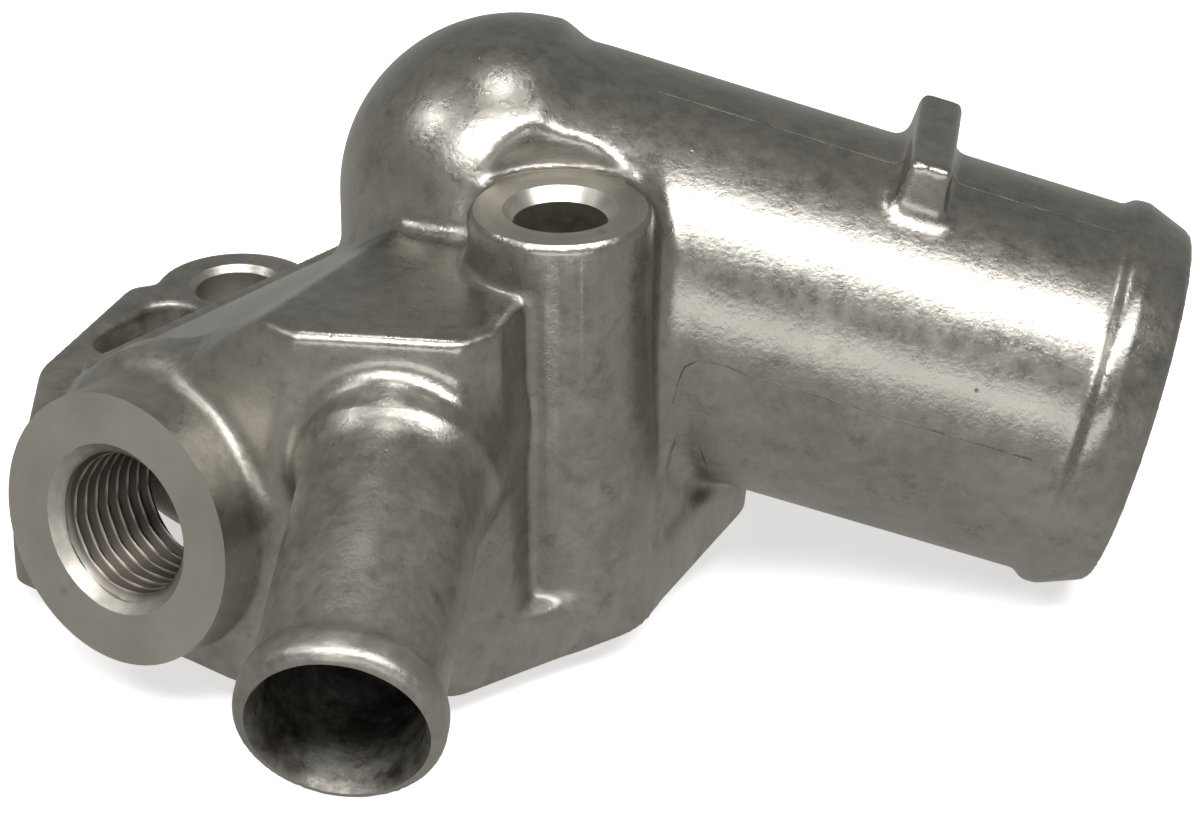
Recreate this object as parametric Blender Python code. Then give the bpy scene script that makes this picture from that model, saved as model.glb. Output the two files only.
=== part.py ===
"""Thermostat housing: one die-cast aluminium water outlet with its machined faces.

The frame is the housing's own. The mating face lies on Z = 0 and the origin is the
centre of the thermostat seat. The outlet neck points along +X and slopes down, the
hose spigot points along -Y, and the bolts stand along Z.
"""
import math

import bmesh
import bpy
from mathutils import Matrix, Vector

MM = 0.001


def plan(x, y):
    """Plan point from two distances in millimetres."""
    return Vector((x, y)) * MM


# Bolts: two, on a line through the middle of the seat.
BOLT_SPACING = 68 * MM
BOLT_LINE_ANGLE = math.radians(130)
BOLT_HOLE_RADIUS = 4.5 * MM
COLUMN_HOLE_CHAMFER = 1.4 * MM
EAR_HOLE_CHAMFER = 0.7 * MM

# Thermostat seat and the hollow above it.
SEAT_RADIUS = 26.5 * MM
SEAT_DEPTH = 3.5 * MM
CHAMBER_RADIUS = 23.5 * MM
WALL = 4 * MM

# Flange: a rim round the seat, drawn out to corners beside the port, block and column.
FLANGE_THICKNESS = 6 * MM
FLANGE_RIM = 7 * MM
FLANGE_EDGE_ROUND = 0.8 * MM
FLANGE_COLUMN_CORNER = plan(29.4, -29.8)
FLANGE_RIGHT_CORNER = plan(38, -2)
FLANGE_NOTCH_CORNER = plan(-33.6, 24.6)
FLANGE_LEFT_CORNER = plan(-38.4, 3.5)
FLANGE_WAIST_CORNER = plan(-36.9, -6)
FLANGE_PORT_CORNER = plan(-33, -28.2)

# Thicker pad round the ear bolt.
EAR_THICKNESS = 8 * MM
EAR_RADIUS = 9.1 * MM
EAR_PAD_END = plan(-35.2, -17)
EAR_PAD_DEPTH = 16 * MM

# Front block with the flat platform on top and a roof that slopes to a ridge.
FRONT_FACE_Y = -44.6 * MM
FRONT_LEFT_X = -6.8 * MM
FRONT_RIGHT_X = 14.3 * MM
FLANK_CORNER = plan(19.4, -38.2)
PLATFORM_HEIGHT = 37.5 * MM
PLATFORM_LEFT = -3.8 * MM
PLATFORM_RIGHT = 19.4 * MM
PLATFORM_CORNER = 3.4 * MM
ROOF_START = plan(5.2, -20.6)
RIDGE_HEIGHT = 11.5 * MM
RIDGE_LEFT = plan(-32, -5)
RIDGE_RIGHT = plan(-10.6, 28.2)
LIP_HEIGHT = 1.2 * MM
LIP_WIDTH = 1.4 * MM
BLOCK_EDGE_ROUND = 1.3 * MM
BLOCK_INSET = 0.6 * MM

# Bolt column and the pocket that clears the socket above it.
COLUMN_RADIUS = 8.8 * MM
COLUMN_HEIGHT = 43 * MM
COLUMN_DRAFT = 0.3 * MM
COLUMN_EDGE = 0.5 * MM
POCKET_RADIUS = 9.8 * MM
POCKET_HEIGHT = 18 * MM

# Elbow dome. Its crown falls over a short shoulder to the start of the neck.
DOME_CENTRE = Vector((14.3, -4.9, 35.3)) * MM
DOME_RADIUS = 17.6 * MM
SHOULDER_LENGTH = 3 * MM

# Outlet neck for the large hose. Its length runs from the elbow point on its axis.
ELBOW_POINT = Vector((18.2, -4.9, 30.8)) * MM
NECK_START = -1 * MM
NECK_SLOPE = math.radians(14.9)
NECK_RADIUS = 19 * MM
NECK_BORE_RADIUS = 16 * MM
NECK_LENGTH = 60.6 * MM
NECK_BEAD_HEIGHT = 0.8 * MM
NECK_BEAD_SETBACK = 5.2 * MM
NECK_BEAD_WIDTH = 3 * MM
NECK_END_TAPER = 1.4 * MM

# Locating lug across the top of the neck.
LUG_SETBACK = 27.4 * MM
LUG_HEIGHT = 3.4 * MM
LUG_TOP_WIDTH = 4 * MM
LUG_FOOT_WIDTH = 5.6 * MM
LUG_TOP_SPAN = 14 * MM
LUG_FOOT_SPAN = 18.6 * MM

# Spigot for the small hose.
SPIGOT_X = 9.2 * MM
SPIGOT_ROOT_HEIGHT = 23.6 * MM
SPIGOT_SLOPE = math.radians(16.2)
SPIGOT_LENGTH = 32.2 * MM
SPIGOT_RADIUS = 8.75 * MM
SPIGOT_BORE_RADIUS = 7.7 * MM
SPIGOT_BEAD_HEIGHT = 0.8 * MM
SPIGOT_BEAD_LENGTH = 4.2 * MM
SPIGOT_ROOT_FLARE = 1.6 * MM
SPIGOT_LEAD_IN = 1.2 * MM

# Boss with the tapped sensor port, M16 x 1.5.
PORT_CENTRE = Vector((-18.1, -44.2, 15.5)) * MM
PORT_PLAN_ANGLE = math.radians(242.5)
PORT_RISE = math.radians(6)
PORT_BOSS_RADIUS = 13.5 * MM
PORT_BOSS_LENGTH = 12 * MM
PORT_BOSS_EDGE = 0.5 * MM
PORT_COLLAR_HEIGHT = 2.2 * MM
PORT_COLLAR_START = 5.6 * MM
PORT_MINOR_RADIUS = 7.2 * MM
PORT_CHAMFER = 1.3 * MM
PORT_DEPTH = 16 * MM

# Oblong relief in the flange beside the ear bolt.
RELIEF_START = plan(-30.5, 11)
RELIEF_END = plan(-27.6, 17)
RELIEF_RADIUS = 3.6 * MM
RELIEF_DEPTH = 5 * MM

# Roundness of turned shapes, and how far a cutter reaches past the face it opens.
ROUND_STEPS = 56
SMALL_ROUND_STEPS = 40
OVERLAP = 1 * MM


def bolt_position(side):
    """Plan position of a bolt: side +1 is the ear, -1 the column."""
    reach = side * BOLT_SPACING / 2
    return Vector((reach * math.cos(BOLT_LINE_ANGLE), reach * math.sin(BOLT_LINE_ANGLE)))


EAR_BOLT = bolt_position(1)
COLUMN_BOLT = bolt_position(-1)
DOME_PLAN = DOME_CENTRE.xy
UPWARD = Vector((0, 0, 1))
NECK_AXIS = Vector((math.cos(NECK_SLOPE), 0, -math.sin(NECK_SLOPE)))
NECK_UP = Vector((math.sin(NECK_SLOPE), 0, math.cos(NECK_SLOPE)))
SPIGOT_AXIS = Vector((0, -math.cos(SPIGOT_SLOPE), -math.sin(SPIGOT_SLOPE)))
SPIGOT_ROOT = Vector((SPIGOT_X, FRONT_FACE_Y, SPIGOT_ROOT_HEIGHT))
PORT_AXIS = Vector((
    math.cos(PORT_PLAN_ANGLE) * math.cos(PORT_RISE),
    math.sin(PORT_PLAN_ANGLE) * math.cos(PORT_RISE),
    math.sin(PORT_RISE),
))


def material(name, colour, roughness, metallic):
    result = bpy.data.materials.new(name)
    result.use_nodes = True
    shader = result.node_tree.nodes["Principled BSDF"]
    shader.inputs["Base Color"].default_value = (*colour, 1)
    shader.inputs["Roughness"].default_value = roughness
    shader.inputs["Metallic"].default_value = metallic
    return result


def make_object(name, shape):
    """Turn a bmesh into an object with outward faces."""
    bmesh.ops.recalc_face_normals(shape, faces=shape.faces)
    mesh = bpy.data.meshes.new(name)
    shape.to_mesh(mesh)
    shape.free()
    result = bpy.data.objects.new(name, mesh)
    bpy.context.scene.collection.objects.link(result)
    return result


def rounded_outline(corners, steps=5):
    """Points of a closed outline whose corners (plan point, radius) are rounded by arcs."""
    points = []
    count = len(corners)
    for index in range(count):
        corner, radius = corners[index]
        before = (corners[index - 1][0] - corner).normalized()
        after = (corners[(index + 1) % count][0] - corner).normalized()
        half = before.angle(after) / 2
        if radius <= 0:
            points.append(corner)
            continue
        start = corner + before * radius / math.tan(half)
        end = corner + after * radius / math.tan(half)
        centre = corner + (before + after).normalized() * radius / math.sin(half)
        turn = (start - centre).angle_signed(end - centre)
        for step in range(steps + 1):
            swing = Matrix.Rotation(-turn * step / steps, 2)
            points.append(centre + swing @ (start - centre))
    return points


def plate(name, outline, bottom, top):
    """Straight extrusion of a plan outline."""
    shape = bmesh.new()
    base = [shape.verts.new((point.x, point.y, bottom)) for point in outline]
    face = shape.faces.new(base)
    grown = bmesh.ops.extrude_face_region(shape, geom=[face])
    risen = [item for item in grown["geom"] if isinstance(item, bmesh.types.BMVert)]
    bmesh.ops.translate(shape, verts=risen, vec=(0, 0, top - bottom))
    return make_object(name, shape)


def hull(name, points):
    """Smallest convex body round the given points."""
    shape = bmesh.new()
    for point in points:
        shape.verts.new(point)
    result = bmesh.ops.convex_hull(shape, input=shape.verts)
    spare = [item for item in result["geom_interior"] if isinstance(item, bmesh.types.BMVert)]
    bmesh.ops.delete(shape, geom=spare, context="VERTS")
    bmesh.ops.dissolve_limit(shape, angle_limit=math.radians(0.6), verts=shape.verts, edges=shape.edges)
    return make_object(name, shape)


def turned(name, profile, origin, axis, steps):
    """Turn a profile of (distance along the axis, radius) about an axis."""
    shape = bmesh.new()
    rings = []
    for along, radius in profile:
        ring = [shape.verts.new(point) for point in circle(Vector((0, 0)), radius, along, steps)]
        rings.append(ring)
    for lower, upper in zip(rings, rings[1:]):
        for step in range(steps):
            following = (step + 1) % steps
            shape.faces.new((lower[step], lower[following], upper[following], upper[step]))
    shape.faces.new(rings[0])
    shape.faces.new(rings[-1])
    turn = axis.to_track_quat("Z", "Y").to_matrix().to_4x4()
    bmesh.ops.transform(shape, matrix=Matrix.Translation(origin) @ turn, verts=shape.verts)
    return make_object(name, shape)


def circle(centre, radius, height, steps=ROUND_STEPS):
    points = []
    for step in range(steps):
        angle = 2 * math.pi * step / steps
        points.append((centre.x + radius * math.cos(angle), centre.y + radius * math.sin(angle), height))
    return points


def arc(centre_along, radius, start, end, steps):
    """Profile points on an arc about a centre on the axis; angles in degrees from the axis."""
    points = []
    for step in range(steps + 1):
        angle = math.radians(start + (end - start) * step / steps)
        points.append((centre_along + radius * math.cos(angle), radius * math.sin(angle)))
    return points


def at_height(outline, height):
    return [(point.x, point.y, height) for point in outline]


def rim_arc(radius, start, end, steps):
    """Plan points on an arc about the seat; angles in degrees from +X."""
    points = []
    for step in range(steps + 1):
        angle = math.radians(start + (end - start) * step / steps)
        points.append(Vector((radius * math.cos(angle), radius * math.sin(angle))))
    return points


def soften(piece, width, segments, angle):
    """Round the edges that are sharper than an angle in degrees."""
    bevel = piece.modifiers.new("edge rounding", "BEVEL")
    bevel.width = width
    bevel.segments = segments
    bevel.limit_method = "ANGLE"
    bevel.angle_limit = math.radians(angle)


def combine(casting, piece, operation):
    """Add a piece to the casting, or cut it away."""
    step = casting.modifiers.new(piece.name, "BOOLEAN")
    step.operation = operation
    step.object = piece
    # The exact solver leaves open edges where the curved walls cross at small angles.
    step.solver = "MANIFOLD"
    piece.hide_render = True
    piece.display_type = "WIRE"


def flange():
    """Flat flange, following the block, the column, the seat's rim and the ear."""
    corners = [
        (Vector((FRONT_LEFT_X, FRONT_FACE_Y)), 2 * MM),
        (Vector((FRONT_RIGHT_X, FRONT_FACE_Y)), 2 * MM),
        (FLANGE_COLUMN_CORNER, 7 * MM),
        (FLANGE_RIGHT_CORNER, 4 * MM),
    ]
    corners += [(point, 0) for point in rim_arc(SEAT_RADIUS + FLANGE_RIM, 25, 105, 12)]
    corners += [
        (FLANGE_NOTCH_CORNER, 2 * MM),
        (FLANGE_LEFT_CORNER, 4 * MM),
        (FLANGE_WAIST_CORNER, 8 * MM),
        (FLANGE_PORT_CORNER, 2 * MM),
    ]
    result = plate("flange", rounded_outline(corners), 0, FLANGE_THICKNESS)
    soften(result, FLANGE_EDGE_ROUND, 1, 60)
    return result


def ear_bolt_pad():
    """Round pad under the ear bolt's head, tied back to the chamber wall."""
    inner = EAR_BOLT.normalized() * SEAT_RADIUS * 0.9
    points = []
    for height in (0, EAR_THICKNESS):
        points += circle(EAR_BOLT, EAR_RADIUS, height)
        points += circle(inner, EAR_RADIUS * 0.7, height)
    return hull("ear bolt pad", points)


def ear_side_pad():
    """Pad of the same thickness along the flange's left edge, round the relief."""
    inward = Vector((EAR_PAD_DEPTH, 0))
    corners = [
        (EAR_BOLT + inward * 0.5, 0),
        (FLANGE_NOTCH_CORNER + plan(3, 1), 1 * MM),
        (FLANGE_NOTCH_CORNER, 2 * MM),
        (FLANGE_LEFT_CORNER, 4 * MM),
        (FLANGE_WAIST_CORNER, 8 * MM),
        (EAR_PAD_END, 3 * MM),
        (EAR_PAD_END + inward, 0),
    ]
    return plate("ear side pad", rounded_outline(corners), OVERLAP / 2, EAR_THICKNESS)


def front_block():
    """Body under the platform, with the sloping roof and the slanted port wall."""
    front = FRONT_FACE_Y
    cut = PLATFORM_CORNER
    platform = [
        Vector((PLATFORM_LEFT, front + cut * 0.85)),
        Vector((PLATFORM_LEFT + cut, front)),
        Vector((PLATFORM_RIGHT - cut * 1.2, front)),
        Vector((PLATFORM_RIGHT - cut * 0.25, front + cut)),
        Vector((PLATFORM_RIGHT, front + cut * 2.8)),
        COLUMN_BOLT,
        DOME_PLAN,
        ROOF_START,
    ]
    port_corner = FLANGE_PORT_CORNER + plan(0.6, 0.6)
    base = [
        Vector((FRONT_LEFT_X, front)),
        Vector((FRONT_RIGHT_X, front)),
        FLANK_CORNER,
        COLUMN_BOLT,
        DOME_PLAN,
        RIDGE_RIGHT,
        RIDGE_LEFT,
        port_corner,
    ]
    points = at_height(platform, PLATFORM_HEIGHT)
    points += at_height([RIDGE_LEFT, RIDGE_RIGHT], RIDGE_HEIGHT)
    points += at_height([port_corner], RIDGE_HEIGHT + BLOCK_INSET)
    points += at_height(base, OVERLAP)
    result = hull("front block", points)
    soften(result, BLOCK_EDGE_ROUND, 2, 18)
    return result


def chamber_wall():
    """Tapered wall from the flange up to the elbow."""
    foot = [RIDGE_RIGHT + plan(1.1, 0.3)]
    foot += rim_arc(SEAT_RADIUS + WALL, 85, 35, 5)
    foot += [
        FLANGE_RIGHT_CORNER + plan(-1.6, 3.5),
        FLANGE_RIGHT_CORNER + plan(-1.4, -1),
        FLANGE_COLUMN_CORNER + plan(-0.2, 3.6),
        COLUMN_BOLT + plan(2.2, -1.7),
        DOME_PLAN * -0.5,
    ]
    points = at_height(foot, FLANGE_THICKNESS - WALL) + at_height(foot, FLANGE_THICKNESS + OVERLAP)
    points += circle(DOME_PLAN, DOME_RADIUS - BLOCK_INSET, DOME_CENTRE.z - DOME_RADIUS / 2, SMALL_ROUND_STEPS)
    return hull("chamber wall", points)


def dome():
    """Upright cylinder under a round crown, drawn into the start of the neck."""
    shoulder = NECK_START - SHOULDER_LENGTH
    rings = [(EAR_THICKNESS, DOME_RADIUS)] + arc(DOME_CENTRE.z, DOME_RADIUS, 90, 4, 10)
    points = []
    for height, radius in rings:
        for point in circle(DOME_PLAN, radius, height):
            past = max(0, NECK_AXIS.dot(Vector(point) - ELBOW_POINT) - shoulder)
            points.append(Vector(point) - NECK_AXIS * past)
    sideways = Vector((0, 1, 0))
    for step in range(ROUND_STEPS):
        angle = 2 * math.pi * step / ROUND_STEPS
        swing = sideways * math.cos(angle) + NECK_UP * math.sin(angle)
        points.append(ELBOW_POINT + NECK_AXIS * NECK_START + swing * (NECK_RADIUS - OVERLAP / 10))
    return hull("dome", points)


def neck():
    """Outlet neck with its bead and tapered end."""
    radius = NECK_RADIUS
    bead = NECK_LENGTH - NECK_BEAD_SETBACK
    half = NECK_BEAD_WIDTH / 2
    crest = radius + NECK_BEAD_HEIGHT
    end = radius - NECK_END_TAPER
    profile = [
        (NECK_START - OVERLAP / 2, radius),
        (bead - half * 1.5, radius),
        (bead - half, crest - NECK_BEAD_HEIGHT / 4),
        (bead - half / 2, crest),
        (bead + half / 2, crest),
        (bead + half * 1.3, crest - NECK_BEAD_HEIGHT / 3),
        (NECK_LENGTH - NECK_END_TAPER / 2, end + NECK_END_TAPER / 4),
        (NECK_LENGTH, end),
    ]
    return turned("neck", profile, ELBOW_POINT, NECK_AXIS, ROUND_STEPS)


def lug():
    """Locating lug across the top of the neck, with drafted sides."""
    centre = ELBOW_POINT + NECK_AXIS * (NECK_LENGTH - LUG_SETBACK)
    points = []
    for rise, width, span in (
        (NECK_RADIUS * 0.75, LUG_FOOT_WIDTH, LUG_FOOT_SPAN),
        (NECK_RADIUS + LUG_HEIGHT, LUG_TOP_WIDTH, LUG_TOP_SPAN),
    ):
        for along in (-width / 2, width / 2):
            for across in (-span / 2, span / 2):
                points.append(centre + NECK_AXIS * along + Vector((0, across, 0)) + NECK_UP * rise)
    result = hull("lug", points)
    soften(result, LUG_TOP_WIDTH * 0.15, 1, 40)
    return result


def spigot():
    """Small hose spigot with a flared root and a bead at its mouth."""
    radius = SPIGOT_RADIUS
    length = SPIGOT_LENGTH
    bead = length - SPIGOT_BEAD_LENGTH
    rise = SPIGOT_BEAD_HEIGHT
    flare = SPIGOT_ROOT_FLARE
    profile = [
        (-radius, radius + flare),
        (flare * 1.2, radius + flare * 0.35),
        (flare * 2.4, radius),
        (bead - rise / 2, radius),
        (bead + rise / 2, radius + rise * 0.8),
        (bead + rise * 1.5, radius + rise),
        (length - rise, radius + rise),
        (length - rise * 0.3, radius + rise * 0.6),
        (length, radius),
    ]
    return turned("spigot", profile, SPIGOT_ROOT, SPIGOT_AXIS, SMALL_ROUND_STEPS)


def port_boss():
    """Round boss with a turned face, swelling to a collar at the block."""
    radius = PORT_BOSS_RADIUS
    swell = PORT_COLLAR_HEIGHT
    start = PORT_COLLAR_START
    profile = [
        (-PORT_BOSS_LENGTH, radius + swell),
        (-start - swell * 1.4, radius + swell * 0.9),
        (-start - swell * 0.8, radius + swell * 0.55),
        (-start - swell * 0.45, radius + swell * 0.15),
        (-start, radius),
        (-PORT_BOSS_EDGE, radius),
        (0, radius - PORT_BOSS_EDGE),
    ]
    return turned("port boss", profile, PORT_CENTRE, PORT_AXIS, ROUND_STEPS)


def column():
    """Bolt column with a little draft, standing in the flange."""
    profile = [
        (OVERLAP / 2, COLUMN_RADIUS + COLUMN_DRAFT),
        (COLUMN_HEIGHT - COLUMN_EDGE, COLUMN_RADIUS),
        (COLUMN_HEIGHT, COLUMN_RADIUS - COLUMN_EDGE),
    ]
    return turned("bolt column", profile, COLUMN_BOLT.to_3d(), UPWARD, SMALL_ROUND_STEPS)


def column_web():
    """Web that ties the column to the elbow and the neck."""
    foot = [
        COLUMN_BOLT + plan(-8, 3),
        COLUMN_BOLT + plan(8.7, 1),
        COLUMN_BOLT + plan(10.6, 8),
        DOME_PLAN + plan(16, -4),
        DOME_PLAN + plan(-8, -4),
    ]
    crest = [
        COLUMN_BOLT + plan(-7, 4),
        COLUMN_BOLT + plan(8.4, 2),
        DOME_PLAN + plan(14, -8),
        DOME_PLAN + plan(-4, -4),
    ]
    points = at_height(foot, FLANGE_THICKNESS / 2) + at_height(foot, ELBOW_POINT.z)
    points += at_height(crest, COLUMN_HEIGHT - BLOCK_INSET)
    return hull("column web", points)


def ridge_lip():
    """Raised lip along the far edge of the sloping roof."""
    along = (RIDGE_RIGHT - RIDGE_LEFT).normalized()
    inward = Vector((along.y, -along.x))
    outer = [RIDGE_LEFT + (along + inward * 0.1) * MM, RIDGE_RIGHT + (along * 2 + inward * 0.1) * MM]
    outline = outer + [point + inward * LIP_WIDTH for point in outer]
    points = at_height(outline, EAR_THICKNESS - OVERLAP)
    points += at_height(outline, RIDGE_HEIGHT + LIP_HEIGHT)
    return hull("ridge lip", points)


def seat_cut():
    """Round recess that holds the thermostat's rim."""
    profile = [(-OVERLAP, SEAT_RADIUS), (SEAT_DEPTH, SEAT_RADIUS)]
    return turned("thermostat seat", profile, Vector((0, 0, 0)), UPWARD, ROUND_STEPS)


def chamber_cut():
    """Tapered hollow from the seat up into the elbow."""
    points = circle(plan(0, 0), CHAMBER_RADIUS, SEAT_DEPTH - OVERLAP / 2, SMALL_ROUND_STEPS)
    points += circle(DOME_PLAN, DOME_RADIUS - WALL - OVERLAP, DOME_CENTRE.z - WALL, SMALL_ROUND_STEPS - 8)
    return hull("chamber hollow", points)


def gallery_cut():
    """Hollow of the front block, open to the mating face beside the seat."""
    front = FRONT_FACE_Y + WALL
    floor = [
        Vector((FRONT_LEFT_X, front)) + plan(2.4, 2.4),
        Vector((FRONT_RIGHT_X, front)) + plan(-2.9, 2.4),
        Vector((FRONT_RIGHT_X, front)) + plan(-1.7, 8),
        Vector((FRONT_RIGHT_X, 0)) + plan(-2.3, 2),
        plan(-12, 10),
        FLANGE_WAIST_CORNER + plan(10.3, 0),
        FLANGE_PORT_CORNER + plan(6.2, 4.6),
    ]
    ceiling = [
        Vector((PLATFORM_LEFT + WALL, front)) + plan(0, 2.2),
        Vector((FRONT_RIGHT_X, front)) + plan(-2.3, 1.4),
        Vector((FRONT_RIGHT_X - 2.3 * MM, DOME_PLAN.y)),
        DOME_PLAN + plan(-8.3, 0),
        ROOF_START,
    ]
    points = at_height(floor, -OVERLAP) + at_height(floor, SEAT_DEPTH + OVERLAP)
    points += at_height(ceiling, PLATFORM_HEIGHT - WALL)
    return hull("gallery hollow", points)


def neck_bore():
    """Round-bottomed bore from the elbow out through the neck."""
    radius = NECK_BORE_RADIUS
    profile = arc(NECK_START * 3, radius, 175, 90, 7)
    profile += [
        (NECK_LENGTH - OVERLAP, radius),
        (NECK_LENGTH + OVERLAP, radius + OVERLAP),
    ]
    return turned("neck bore", profile, ELBOW_POINT, NECK_AXIS, ROUND_STEPS)


def spigot_bore():
    """Bore through the spigot and the front wall into the gallery."""
    inner_end = SPIGOT_RADIUS * 2 + WALL
    profile = [
        (-inner_end, SPIGOT_BORE_RADIUS),
        (SPIGOT_LENGTH - SPIGOT_LEAD_IN, SPIGOT_BORE_RADIUS),
        (SPIGOT_LENGTH + SPIGOT_LEAD_IN, SPIGOT_BORE_RADIUS + SPIGOT_LEAD_IN),
    ]
    return turned("spigot bore", profile, SPIGOT_ROOT, SPIGOT_AXIS, SMALL_ROUND_STEPS)


def port_bore():
    """Core hole of the tapped port, with its lead-in chamfer."""
    profile = [
        (-PORT_DEPTH, PORT_MINOR_RADIUS),
        (-PORT_CHAMFER, PORT_MINOR_RADIUS),
        (OVERLAP, PORT_MINOR_RADIUS + PORT_CHAMFER + OVERLAP),
    ]
    return turned("port bore", profile, PORT_CENTRE, PORT_AXIS, SMALL_ROUND_STEPS)


def bolt_cut(name, place, top, chamfer):
    """Through hole for a bolt, chamfered at its top."""
    profile = [
        (-OVERLAP, BOLT_HOLE_RADIUS),
        (top - chamfer, BOLT_HOLE_RADIUS),
        (top + OVERLAP, BOLT_HOLE_RADIUS + chamfer + OVERLAP),
    ]
    return turned(name, profile, place.to_3d(), UPWARD, SMALL_ROUND_STEPS)


def pocket_cut():
    """Room in the dome for the socket that turns the column bolt."""
    profile = [
        (COLUMN_HEIGHT, POCKET_RADIUS),
        (COLUMN_HEIGHT + POCKET_HEIGHT, POCKET_RADIUS + COLUMN_DRAFT * 2),
    ]
    return turned("socket pocket", profile, COLUMN_BOLT.to_3d(), UPWARD, SMALL_ROUND_STEPS)


def relief_cut():
    """Oblong pocket that lightens the pad beside the ear bolt."""
    points = []
    for end in (RELIEF_START, RELIEF_END):
        for height, radius in ((-RELIEF_DEPTH, RELIEF_RADIUS - COLUMN_DRAFT), (OVERLAP, RELIEF_RADIUS)):
            points += circle(end, radius, EAR_THICKNESS + height, SMALL_ROUND_STEPS // 2)
    return hull("flange relief", points)


def build():
    for old in list(bpy.data.objects):
        bpy.data.objects.remove(old)
    casting = flange()
    casting.name = "housing_casting"
    added = [
        ear_bolt_pad(),
        ear_side_pad(),
        front_block(),
        chamber_wall(),
        dome(),
        column_web(),
        neck(),
        column(),
        lug(),
        spigot(),
        port_boss(),
        ridge_lip(),
    ]
    removed = [
        seat_cut(),
        chamber_cut(),
        gallery_cut(),
        neck_bore(),
        spigot_bore(),
        port_bore(),
        bolt_cut("column bolt hole", COLUMN_BOLT, COLUMN_HEIGHT, COLUMN_HOLE_CHAMFER),
        bolt_cut("ear bolt hole", EAR_BOLT, EAR_THICKNESS, EAR_HOLE_CHAMFER),
        pocket_cut(),
        relief_cut(),
    ]
    for piece in added:
        combine(casting, piece, "UNION")
    for piece in removed:
        combine(casting, piece, "DIFFERENCE")
    casting.data.materials.append(material("cast_aluminium", (0.42, 0.40, 0.36), 0.38, 1.0))
    casting.data.shade_smooth()
    casting.data.set_sharp_from_angle(angle=math.radians(30))


build()
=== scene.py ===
"""Looks of the thermostat housing.

The casting is drawn as a signed distance on a fine grid, with the foundry's fillets and
edge radii, and turned into a mesh. Machined faces, bores and chamfers are then cut with
crisp edges. Sizes inside the shape functions are in millimetres; meshes are in metres.
"""
import itertools
import math

import bmesh
import bpy
import numpy as np
from bpy.props import FloatProperty, FloatVectorProperty, IntProperty, PointerProperty
from bpy.types import Operator, Panel, PropertyGroup
from mathutils import Matrix, Vector


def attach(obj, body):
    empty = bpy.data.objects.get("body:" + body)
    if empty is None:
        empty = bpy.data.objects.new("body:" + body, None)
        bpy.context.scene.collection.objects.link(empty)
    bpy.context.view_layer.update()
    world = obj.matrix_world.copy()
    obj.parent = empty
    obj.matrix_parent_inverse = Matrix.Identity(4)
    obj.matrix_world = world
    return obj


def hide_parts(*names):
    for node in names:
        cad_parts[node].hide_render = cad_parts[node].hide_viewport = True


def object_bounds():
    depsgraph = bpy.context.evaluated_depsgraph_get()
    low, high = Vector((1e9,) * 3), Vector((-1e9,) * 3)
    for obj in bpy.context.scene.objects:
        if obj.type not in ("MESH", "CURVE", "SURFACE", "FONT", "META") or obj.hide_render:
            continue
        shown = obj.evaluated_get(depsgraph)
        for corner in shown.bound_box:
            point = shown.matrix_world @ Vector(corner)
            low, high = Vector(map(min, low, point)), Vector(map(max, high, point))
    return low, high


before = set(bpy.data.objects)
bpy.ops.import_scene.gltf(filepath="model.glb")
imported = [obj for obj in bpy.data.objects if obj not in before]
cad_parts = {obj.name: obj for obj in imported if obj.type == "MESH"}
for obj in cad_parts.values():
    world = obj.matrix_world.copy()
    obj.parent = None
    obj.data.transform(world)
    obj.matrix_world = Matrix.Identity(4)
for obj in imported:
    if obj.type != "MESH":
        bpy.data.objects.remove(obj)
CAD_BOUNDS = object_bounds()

bl_info = {
    "name": "Thermostat Housing",
    "version": (1, 0, 0),
    "blender": (4, 5, 0),
    "location": "View3D > Sidebar > Housing",
    "description": "Builds a die-cast thermostat housing with its machined faces and tapped port",
    "category": "Object",
}

MM = 0.001
CAD_NODE = "housing_casting"
BODY = "root"


# Sizes of the housing, in millimetres.
def plan(x, y):
    """Plan point, as an array."""
    return np.array((x, y), dtype=float)


def unit(vector):
    vector = np.array(vector, dtype=float)
    return vector / np.linalg.norm(vector)


ORIGIN = np.zeros(3)
UPWARD = np.array((0.0, 0.0, 1.0))

BOLT_SPACING = 68
BOLT_LINE_ANGLE = math.radians(130)
BOLT_HOLE_RADIUS = 4.5
COLUMN_LEAD_IN = 1.0
COLUMN_LEAD_IN_DEPTH = 1.3
EAR_LEAD_IN = 0.7
BOLT_DIRECTION = np.array((math.cos(BOLT_LINE_ANGLE), math.sin(BOLT_LINE_ANGLE)))
EAR_BOLT = BOLT_DIRECTION * BOLT_SPACING / 2
COLUMN_BOLT = -EAR_BOLT

SEAT_RADIUS = 26.5
SEAT_DEPTH = 3.5
CHAMBER_RADIUS = 23.5
RING_WALL_RADIUS = 28.4
RING_WALL_HEIGHT = 14
CORE_FILLET = 1.5
WALL = 4

FRONT_Y = -44.6
FRONT_LEFT = plan(-6.8, FRONT_Y)
FRONT_RIGHT = plan(14.3, FRONT_Y)
FLANGE_THICKNESS = 6
FLANGE_RIM = 7
COLUMN_CORNER = plan(29.4, -29.8)
RIGHT_CORNER = plan(38, -2)
NOTCH_CORNER = plan(-33.6, 24.6)
LEFT_SIDE = [(NOTCH_CORNER, 2), (plan(-38.4, 3.5), 4), (plan(-36.9, -6), 8)]
PORT_CORNER = plan(-33, -28.2)
EAR_THICKNESS = 8
EAR_RADIUS = 9.1
PAD_END = plan(-35.2, -17)
PAD_DEPTH = 16

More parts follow.
